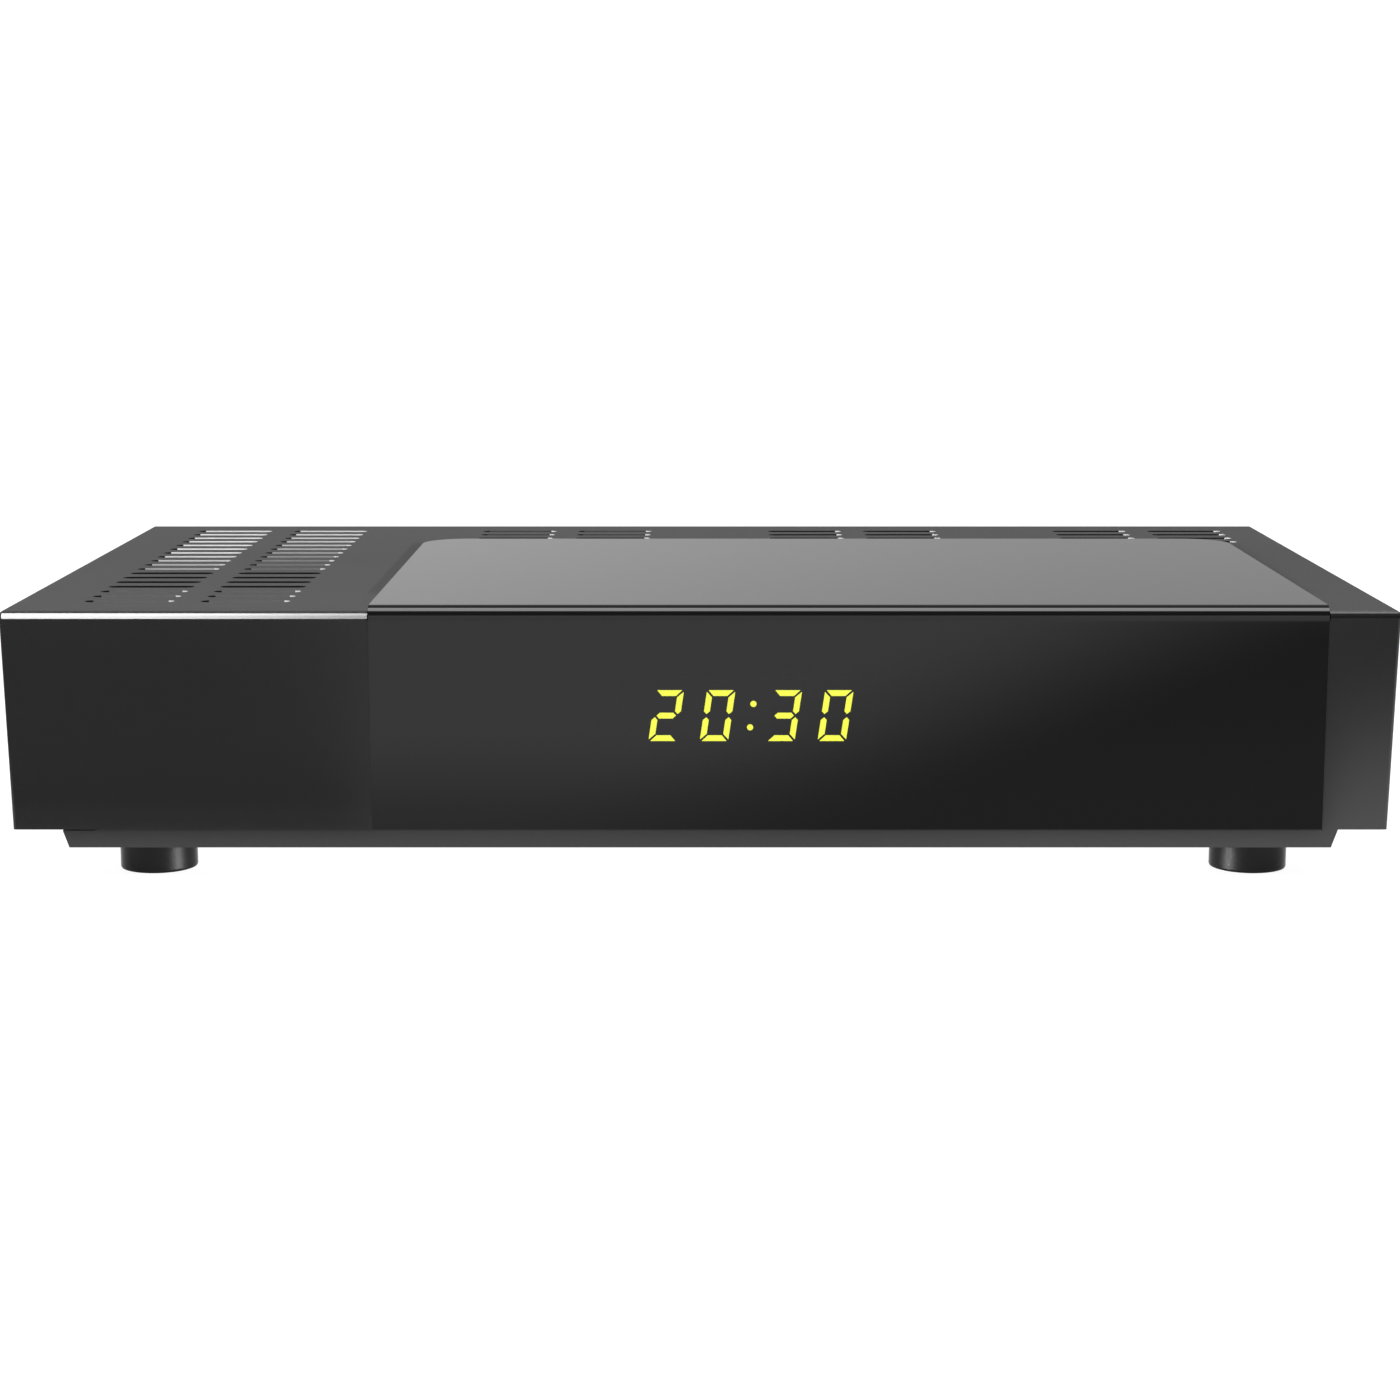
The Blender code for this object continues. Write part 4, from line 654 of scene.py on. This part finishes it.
def softened(node, name, width, slot, body, segments):
    """A copy of a solid with its sharp edges rounded, to stand for it."""
    piece = merged_copy(node, name)
    bpy.ops.object.mode_set(mode="OBJECT")
    bpy.ops.object.modifier_add(type="BEVEL")
    rounding = piece.modifiers[-1]
    rounding.width = width
    rounding.segments = segments
    rounding.limit_method = "ANGLE"
    rounding.angle_limit = math.radians(40)
    bpy.ops.object.modifier_apply(modifier=rounding.name)
    bpy.ops.object.mode_set(mode="EDIT")
    end_piece(piece, slot, body, node, 45)


# Feet, in millimetres from the table up: a hollow for the screw, the rim it stands on, a straight side
FOOT_RINGS = (
    (2.9, 2.4), (2.9, 0.3), (3.1, 0.05), (3.3, 0.0), (5.9, 0.0), (6.1, 0.07), (6.2, 0.25),
    (6.2, 0.5), (6.2, 5.2), (1.5, 5.2),
)


def feet():
    for row in ("front", "rear"):
        for side in ("left", "right"):
            node = f"foot_{row}_{side}"
            low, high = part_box(node)
            centre = ((low.x + high.x) / 2, (low.y + high.y) / 2, 0)
            piece = turned(f"round_{node}", FOOT_RINGS, centre, "Z")
            end_piece(piece, "foot_plastic", stands_for=node)


# Pan-head screws with a cross recess. The seat is at the origin and the head points up. The rings
# and the shank are in millimetres
SCREW_RINGS = ((2.6, 0.0), (2.6, 0.4), (2.5, 0.75), (2.2, 1.0), (1.6, 1.15), (0.9, 1.2))
SHANK_RADIUS = 1.2
RECESS_LENGTH = 3.0 * MM
RECESS_WIDTH = 0.7 * MM
RECESS_FLOOR = 0.45 * MM
RECESS_TOP = 2 * MM


def pan_head(length):
    """One screw, to be copied: a turned head and shank, and two crossed blocks cut from the head."""
    rings = [(SHANK_RADIUS, -length / MM), (SHANK_RADIUS, 0), *SCREW_RINGS]
    screw = turned("screw", rings, (0, 0, 0), "Z", SCREW_STEPS)
    bpy.ops.mesh.normals_make_consistent(inside=False)
    bpy.ops.object.mode_set(mode="OBJECT")
    half_long, half_wide = RECESS_LENGTH / 2, RECESS_WIDTH / 2
    for half_x, half_y in ((half_long, half_wide), (half_wide, half_long)):
        block_at((-half_x, -half_y, RECESS_FLOOR), (half_x, half_y, RECESS_TOP))
        bpy.ops.object.mode_set(mode="OBJECT")
        cutter = bpy.context.object
        bpy.ops.object.select_all(action="DESELECT")
        bpy.context.view_layer.objects.active = screw
        screw.select_set(True)
        bpy.ops.object.modifier_add(type="BOOLEAN")
        recess = screw.modifiers[-1]
        recess.operation = "DIFFERENCE"
        recess.object = cutter
        bpy.ops.object.modifier_apply(modifier=recess.name)
        bpy.data.objects.remove(cutter, do_unlink=True)
    return screw


def screws():
    """Every screw with a visible head, by where its seat is and which way its head points."""
    masters = {}
    groups = {
        "Y": ["cover_screw_left", "cover_screw_middle", "cover_screw_right"],
        "-Z": [f"{kind}_screw_{row}_{side}" for kind in ("foot", "base") for row in ("front", "rear")
               for side in ("left", "right")],
    }
    head = SCREW_RINGS[-1][1] * MM
    for axis, names in groups.items():
        for node in names:
            low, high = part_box(node)
            middle = (low + high) / 2
            if axis == "Y":
                length, seat = high.y - low.y - head, (middle.x, high.y - head, middle.z)
            else:
                length, seat = high.z - low.z - head, (middle.x, middle.y, low.z + head)
            size = round(length, 5)
            if size not in masters:
                masters[size] = pan_head(length)
            piece = open_copy(masters[size].data, f"cross_{node}")
            lay_along(axis)
            bpy.ops.transform.translate(value=seat)
            end_piece(piece, "screw_steel", stands_for=node)
    for master in masters.values():
        bpy.data.objects.remove(master, do_unlink=True)


# Aerial connector, in millimetres from its root: the thread, the end with its mouth, and the
# insulator inside with the hole for the wire
THREAD_RADIUS = 4.75
THREAD_ROOT = 4.4
THREAD_PITCH = 0.8
THREAD_START = 4.0
THREAD_COUNT = 10
MOUTH_RINGS = ((4.6, 12.45), (4.2, 12.9), (3.5, 12.9), (3.5, 11.5))
INSULATOR_RINGS = ((3.45, 11.6), (3.45, 12.1), (3.3, 12.2), (1.3, 12.2), (1.1, 12.05), (0.6, 11.75))


def aerial_connector():
    low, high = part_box("lnb_connector")
    centre = ((low.x + high.x) / 2, low.y, (low.z + high.z) / 2)
    rings = [(THREAD_RADIUS, 0), (THREAD_RADIUS, THREAD_START - THREAD_PITCH)]
    for turn in range(THREAD_COUNT):
        start = THREAD_START + turn * THREAD_PITCH
        rings += [(THREAD_RADIUS, start), (THREAD_ROOT, start + THREAD_PITCH / 2)]
    rings += MOUTH_RINGS
    end_piece(turned("aerial_barrel", rings, centre, "Y"), "nickel_plate", stands_for="lnb_connector")
    end_piece(turned("aerial_insulator", INSULATOR_RINGS, centre, "Y"), "header_plastic")


# The audio socket's insulator, in millimetres from its mouth
AUDIO_RINGS = (
    (1.68, -3.0), (1.68, -0.1), (3.1, -0.1), (3.1, 0.05), (2.9, 0.12), (1.5, 0.12), (1.2, -0.1),
    (1.15, -2.0),
)
AUDIO_STEPS = 64


def audio_insulator():
    """The black insulator in the mouth of the audio socket."""
    low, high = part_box("audio_socket")
    centre = ((low.x + high.x) / 2, high.y, (low.z + high.z) / 2)
    end_piece(turned("audio_insulator", AUDIO_RINGS, centre, "Y", AUDIO_STEPS), "black_plastic")


# Contact blades in millimetres: each row's count, pitch and height from the socket's middle, then a
# blade's width, depth and height, and how far in they lie
CONTACTS = {
    "usb": ([(4, 2.4, 1.0)], (1.1, 6.5, 0.16), 2.2),
    "hdmi": ([(10, 1.0, 0.55), (9, 1.0, -0.55)], (0.5, 6.0, 0.12), 1.8),
    "scart": ([(10, 3.81, 2.6), (10, 3.81, -2.6)], (1.4, 6.0, 0.5), 0.7),
}


def contacts(kind):
    """The rows of contact blades in a socket."""
    rows, size, inset = CONTACTS[kind]
    low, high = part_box(kind + "_socket")
    middle_x, middle_z = (low.x + high.x) / 2, (low.z + high.z) / 2
    width, depth, height = (part * MM for part in size)
    for count, pitch, rise in rows:
        for i in range(count):
            x = middle_x + (i - (count - 1) / 2) * pitch * MM
            z = middle_z + rise * MM
            y = high.y - inset * MM
            block_at((x - width / 2, y - depth, z - height / 2), (x + width / 2, y, z + height / 2))
    bpy.context.object.name = kind + "_contacts"
    bpy.ops.mesh.select_all(action="SELECT")
    bpy.ops.mesh.bevel(offset=min(width, height) / 4, segments=1)
    end_piece(bpy.context.object, "nickel_plate")


# The narrow ridge of the front's moulding that fills the seams round the window
RIDGE_SINK = 0.05 * MM
RIDGE_PLAY = 0.01 * MM
RIDGE_BACK = FRONT + 1.3 * MM
RIDGE_TOP = TOP - 1.5 * MM
RIDGE_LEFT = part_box("badge_panel")[0].x + 14 * MM
RIDGE_BEVEL = 0.01 * MM
SEAM = 0.15 * MM


def seam_ridge():
    top = HOOD_BOTTOM - RIDGE_PLAY
    bottom = HOOD_BOTTOM - SEAM
    front = FRONT + RIDGE_SINK
    right = WINDOW_RIGHT + RIDGE_PLAY
    block_at((RIDGE_LEFT, front, bottom), (right, RIDGE_BACK, top))
    block_at((right, front, bottom), (WINDOW_RIGHT + SEAM, RIDGE_BACK, RIDGE_TOP))
    block_at((WINDOW_LEFT - SEAM, front, bottom), (WINDOW_LEFT - RIDGE_PLAY, RIDGE_BACK, RIDGE_TOP))
    bpy.context.object.name = "seam_ridge"
    bpy.ops.mesh.select_all(action="SELECT")
    bpy.ops.mesh.bevel(offset=RIDGE_BEVEL, segments=1)
    end_piece(bpy.context.object, "bezel_plastic")


# Solids with a smoothly shaded copy: its name and slot
SMOOTHED = {
    "display_window": ("smooth_window", "window_acrylic"),
    "badge_panel": ("smooth_badge", "badge_plastic"),
    "front_bezel": ("smooth_bezel", "bezel_plastic"),
}

# Solids with a copy whose edges are rounded: its name, the rounding in millimetres, slot, body, steps
SOFTENED = {
    "lnb_nut": ("chamfered_nut", 0.3, "nickel_plate", "case", 2),
    "switch_housing": ("rounded_switch_housing", 0.4, "black_plastic", "case", 3),
    "switch_rocker": ("rounded_rocker", 0.35, "black_plastic", "rocker", 3),
    "dc_inlet": ("rounded_dc_inlet", 0.25, "black_plastic", "case", 2),
    "scart_socket": ("rounded_scart_socket", 0.2, "black_plastic", "case", 2),
}


def build_pieces():
    feet()
    screws()
    aerial_connector()
    audio_insulator()
    for kind in CONTACTS:
        contacts(kind)
    seam_ridge()
    fine_digits()
    for node, (name, slot) in SMOOTHED.items():
        smoothed(node, name, slot)
    for node, (name, width, slot, body, segments) in SOFTENED.items():
        softened(node, name, width * MM, slot, body, segments)
    bpy.data.objects["rounded_rocker"].data.materials[0] = rocker_plastic()


# Studio, in metres. Brightness is radiance, where 1 shows as white
FLOOR_RADIUS = 4.5
RIM_RADIUS = 0.5
RIM_STEPS = 12
WALL_HEIGHT = 4.0
FLOOR_GLOW = 0.93
FAR_FLOOR_GLOW = 1.06
GLOW_START = 0.3
GLOW_END = 1.5
WALL_GLOW = 1.1
WHITE_WALL_TOP = 0.52
DIM_WALL_BOTTOM = 0.58
WALL_ABOVE_LEFT = 0.485
WALL_ABOVE_RIGHT = 0.295
DARK_AHEAD = -1.3
LIGHT_AHEAD = -0.7
AHEAD_SHARE = 0.15
SOFTBOX_HEIGHT = 0.68
SOFTBOX_FRONT = -0.67
SOFTBOX_BACK = -0.10
SOFTBOX_WIDTH = 0.9
SOFTBOX = 7.4
WORLD_GLOW = 0.3
WALL_FADE_HALF = 1.2


def white_floor():
    """A round floor whose rim curves up into a wall all round, as a studio sweep does."""
    bpy.ops.object.select_all(action="DESELECT")
    bpy.ops.mesh.primitive_circle_add(vertices=FINE_STEPS, radius=FLOOR_RADIUS, fill_type="NGON")
    floor = bpy.context.object
    floor.name = "floor"
    bpy.ops.object.mode_set(mode="EDIT")
    bpy.ops.mesh.select_mode(type="EDGE")
    bpy.ops.mesh.select_all(action="SELECT")
    turns = [math.pi / 2 * step / RIM_STEPS for step in range(1, RIM_STEPS + 1)]
    rim = [(math.sin(turn), 1 - math.cos(turn)) for turn in turns]
    rim = [(FLOOR_RADIUS + RIM_RADIUS * out, RIM_RADIUS * up) for out, up in rim]
    rim.append((FLOOR_RADIUS + RIM_RADIUS, WALL_HEIGHT))
    radius, height = FLOOR_RADIUS, 0.0
    for next_radius, next_height in rim:
        bpy.ops.mesh.extrude_edges_move(TRANSFORM_OT_translate={"value": (0, 0, next_height - height)})
        share = next_radius / radius
        bpy.ops.transform.resize(value=(share, share, 1), center_override=(0, 0, 0))
        radius, height = next_radius, next_height
    bpy.ops.mesh.select_all(action="SELECT")
    bpy.ops.mesh.normals_make_consistent(inside=True)
    bpy.ops.object.mode_set(mode="OBJECT")
    bpy.ops.object.shade_smooth_by_angle(angle=math.radians(30))
    fixed = {"Specular IOR Level": 0.0, "Roughness": 0.9, "Emission Strength": WALL_GLOW}
    finish = Finish("floor_paper", fixed)
    speck = finish.noise(1.5 * MM, 2.0)
    above = finish.along(2)
    radius = finish.node("ShaderNodeVectorMath", {"operation": "LENGTH"}, {0: finish.place()}, 1)
    lower = radius.ramp(GLOW_START, GLOW_END, FLOOR_GLOW, FAR_FLOOR_GLOW)
    upper = finish.along(0).ramp(-WALL_FADE_HALF, WALL_FADE_HALF, WALL_ABOVE_LEFT, WALL_ABOVE_RIGHT)
    glow = lower + (upper - lower) * above.ramp(WHITE_WALL_TOP, DIM_WALL_BOTTOM)
    glow = glow * finish.along(1).ramp(DARK_AHEAD, LIGHT_AHEAD, AHEAD_SHARE, 1.0)
    finish.wear({
        "Base Color": finish.blend(speck, grey(134), grey(140)),
        "Emission Color": finish.blend(glow / WALL_GLOW, (0, 0, 0), (1, 1, 1)),
    })
    floor.data.materials.append(finish.material)


def soft_light(name, centre, look_at, size, brightness):
    """A rectangular light that the camera doesn't see."""
    data = bpy.data.lights.new(name, "AREA")
    data.shape = "RECTANGLE"
    data.size, data.size_y = size
    data.energy = brightness * math.pi * size[0] * size[1]
    light = bpy.data.objects.new(name, data)
    light.location = centre
    light.rotation_euler = (Vector(look_at) - Vector(centre)).to_track_quat("-Z", "Y").to_euler()
    light.visible_camera = False
    bpy.context.scene.collection.objects.link(light)
    return light


# The card in front, on the floor, that the front mirrors towards the camera
CARD_LEFT, CARD_RIGHT = -0.45, 0.55
CARD_FRONT, CARD_BACK = -0.60, -0.085
CARD_LIFT = 0.5 * MM
FLAG_LOW = (-2 * MM, 10 * MM)
FLAG_HIGH = (67 * MM, 40 * MM)
FLAG_SOFT = 16 * MM
WINDOW_BAND = 41.86 * MM  # above it the window mirrors light over its whole width
BAND_SOFT = 0.1 * MM
BAND_TONE = 0.85
LIP_EDGE = (HOOD_BOTTOM - 0.3 * MM, HOOD_BOTTOM - 0.15 * MM)
RIGHT_EDGE = (WINDOW_RIGHT, WINDOW_RIGHT + 0.2 * MM)
LEFT_EDGE = (WINDOW_LEFT - 0.9 * MM, WINDOW_LEFT - 0.7 * MM)
CARD_GLOW = 2.0

# The card's tones: from and to a height on the front, from and to a radiance
LIGHT_TONE = (8 * MM, 26 * MM, 0.55, 0.93)
DARK_TONE = (10 * MM, 40 * MM, 0.3, 0.23)
STRIP_TONE = (8 * MM, 42 * MM, 1.85, 0.1)
UNDER_TONE = (0, 100 * MM, 1.6, 2.3)  # from and to a place across the front, for the lip
BADGE_BAND = (24 * MM, 10 * MM, 16 * MM)
BADGE_TONES = (0.05, 0.25)


def reflector_card():
    """A card that only shows in reflections. Its tones are placed by where the front mirrors them:
    light at the window's left, dark past a slanted edge, and falling off up the strip at the right."""
    bpy.ops.object.select_all(action="DESELECT")
    bpy.ops.mesh.primitive_plane_add(size=1.0)
    card = bpy.context.object
    card.name = "reflector_card"
    bpy.ops.object.mode_set(mode="EDIT")
    bpy.ops.mesh.select_all(action="SELECT")
    size = (CARD_RIGHT - CARD_LEFT, CARD_BACK - CARD_FRONT, 1)
    centre = ((CARD_RIGHT + CARD_LEFT) / 2, (CARD_BACK + CARD_FRONT) / 2, CARD_LIFT)
    bpy.ops.transform.resize(value=size)
    bpy.ops.transform.translate(value=centre)
    bpy.ops.object.mode_set(mode="OBJECT")
    fixed = {"Specular IOR Level": 0.0, "Emission Strength": CARD_GLOW, "Base Color": (0, 0, 0, 1)}
    finish = Finish("card_paper", fixed)
    reach = (FRONT - finish.along(1)) / CAMERA_AHEAD
    across = finish.along(0) / (reach + 1)
    height = (reach * (TOP + CAMERA_ABOVE) + CARD_LIFT) / (reach + 1)
    lean = (FLAG_HIGH[0] - FLAG_LOW[0]) / (FLAG_HIGH[1] - FLAG_LOW[1])
    past_flag = across - FLAG_LOW[0] - (height - FLAG_LOW[1]) * lean
    flag = past_flag.ramp(-FLAG_SOFT * lean, FLAG_SOFT * lean)
    light = height.ramp(*LIGHT_TONE)
    window = light + (height.ramp(*DARK_TONE) - light) * flag
    band = height.ramp(WINDOW_BAND - BAND_SOFT, WINDOW_BAND + BAND_SOFT)
    window = window + (BAND_TONE - window) * band
    shade = window + (height.ramp(*STRIP_TONE) - window) * across.ramp(*RIGHT_EDGE)
    badge = height.band(*BADGE_BAND) * BADGE_TONES[1] + BADGE_TONES[0]
    shade = shade + (badge - shade) * across.ramp(*LEFT_EDGE, 1.0, 0.0)
    shade = shade + (across.ramp(*UNDER_TONE) - shade) * height.ramp(*LIP_EDGE, 1.0, 0.0)
    finish.wear({"Emission Color": finish.blend(shade / CARD_GLOW, (0, 0, 0), (1, 1, 1))})
    card.data.materials.append(finish.material)
    card.visible_camera = False
    card.visible_diffuse = False
    card.visible_shadow = False
    card.visible_transmission = False


def light_only(light, *shown):
    """Keeps a light to some pieces."""
    kept = bpy.data.collections.new(light.name + "_pieces")
    for piece in shown:
        kept.objects.link(bpy.data.objects[piece])
    light.light_linking.receiver_collection = kept
    return kept


def light_all_but(light, *kept_dark):
    """Keeps a light off some pieces."""
    for entry in light_only(light, *kept_dark).collection_objects:
        entry.light_linking.link_state = "EXCLUDE"


# Lights for single pieces of the front, on an arc over its top edge
ARC_RADIUS = 0.7
WINDOW_LIGHTS = {"horizon": (4, 0.19, 1.6), "rounding": (71, 0.54, 5.2)}  # turn, height and radiance
WINDOW_LIGHT_WIDTH = 1.6
EDGE_LIGHT_X = -0.425
EDGE_LIGHT_SIZE = (0.5, 1.1)
EDGE_LIGHT = 36.0
EDGE_LIGHT_TURN = 50
STRIP_LIGHT_X = 0.22
STRIP_LIGHT_SIZE = (0.9, 0.6)
STRIP_LIGHT = 2.6
STRIP_LIGHT_TURN = 110

# Lights for the front feet, low down at each side
FOOT_LIGHT_TURN = 68
FOOT_LIGHT_REACH = 0.5
FOOT_LIGHT_RISE = 0.1
FOOT_LIGHT_SIZE = (0.2, 0.1)
FOOT_LIGHT = 1180.0


def soft_light_on_arc(name, degrees, across, size, brightness, piece):
    """A light for one piece, on the arc: 0 degrees is level ahead, 90 is overhead."""
    turn = math.radians(degrees)
    edge = Vector((across, FRONT, TOP))
    place = edge + Vector((0, -math.cos(turn), math.sin(turn))) * ARC_RADIUS
    light = soft_light(name, place, edge, size, brightness)
    light_only(light, piece)
    return light


def studio():
    world = bpy.data.worlds.new("studio")
    world.use_nodes = True
    shade = world.node_tree.nodes["Background"]
    shade.inputs["Color"].default_value = (1, 1, 1, 1)
    shade.inputs["Strength"].default_value = WORLD_GLOW
    bpy.context.scene.world = world
    white_floor()
    reflector_card()
    centre = (0, (SOFTBOX_FRONT + SOFTBOX_BACK) / 2, SOFTBOX_HEIGHT)
    below = (0, centre[1], 0)
    size = (SOFTBOX_WIDTH, SOFTBOX_BACK - SOFTBOX_FRONT)
    overhead = soft_light("overhead", centre, below, size, SOFTBOX)
    light_all_but(overhead, "smooth_bezel", "smooth_window")
    for name, (degrees, height, brightness) in WINDOW_LIGHTS.items():
        size = (WINDOW_LIGHT_WIDTH, height)
        soft_light_on_arc("window_" + name + "_light", degrees, 0, size, brightness, "smooth_window")
    strip = (STRIP_LIGHT_TURN, STRIP_LIGHT_X, STRIP_LIGHT_SIZE, STRIP_LIGHT)
    soft_light_on_arc("strip_light", *strip, "smooth_bezel")
    edge = (EDGE_LIGHT_TURN, EDGE_LIGHT_X, EDGE_LIGHT_SIZE, EDGE_LIGHT)
    light = soft_light_on_arc("badge_edge_light", *edge, "smooth_badge")
    light.visible_diffuse = False
    for side, end in ((1, "left"), (-1, "right")):
        foot = sum(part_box("foot_front_" + end), Vector()) / 2
        turn = math.radians(FOOT_LIGHT_TURN) * side
        way = Vector((math.sin(turn), -math.cos(turn), FOOT_LIGHT_RISE))
        place = foot + way * FOOT_LIGHT_REACH
        light = soft_light("foot_light_" + end, place, foot, FOOT_LIGHT_SIZE, FOOT_LIGHT)
        light.visible_diffuse = False
        light_only(light, "round_foot_front_" + end)
    bpy.context.scene.view_settings.view_transform = "Standard"


def camera():
    data = bpy.data.cameras.new("camera")
    data.sensor_width = SENSOR
    data.lens = FOCAL_PIXELS / IMAGE_SIDE * SENSOR
    data.shift_x = CAMERA_SLIDE / IMAGE_SIDE
    made = bpy.data.objects.new("camera", data)
    made.location = (CAMERA_RIGHT, FRONT - CAMERA_AHEAD, TOP + CAMERA_ABOVE)
    made.rotation_euler = (CAMERA_PITCH, 0, 0)
    bpy.context.scene.collection.objects.link(made)
    bpy.context.scene.camera = made


finishes = assign_finishes()
build_pieces()
studio()
camera()
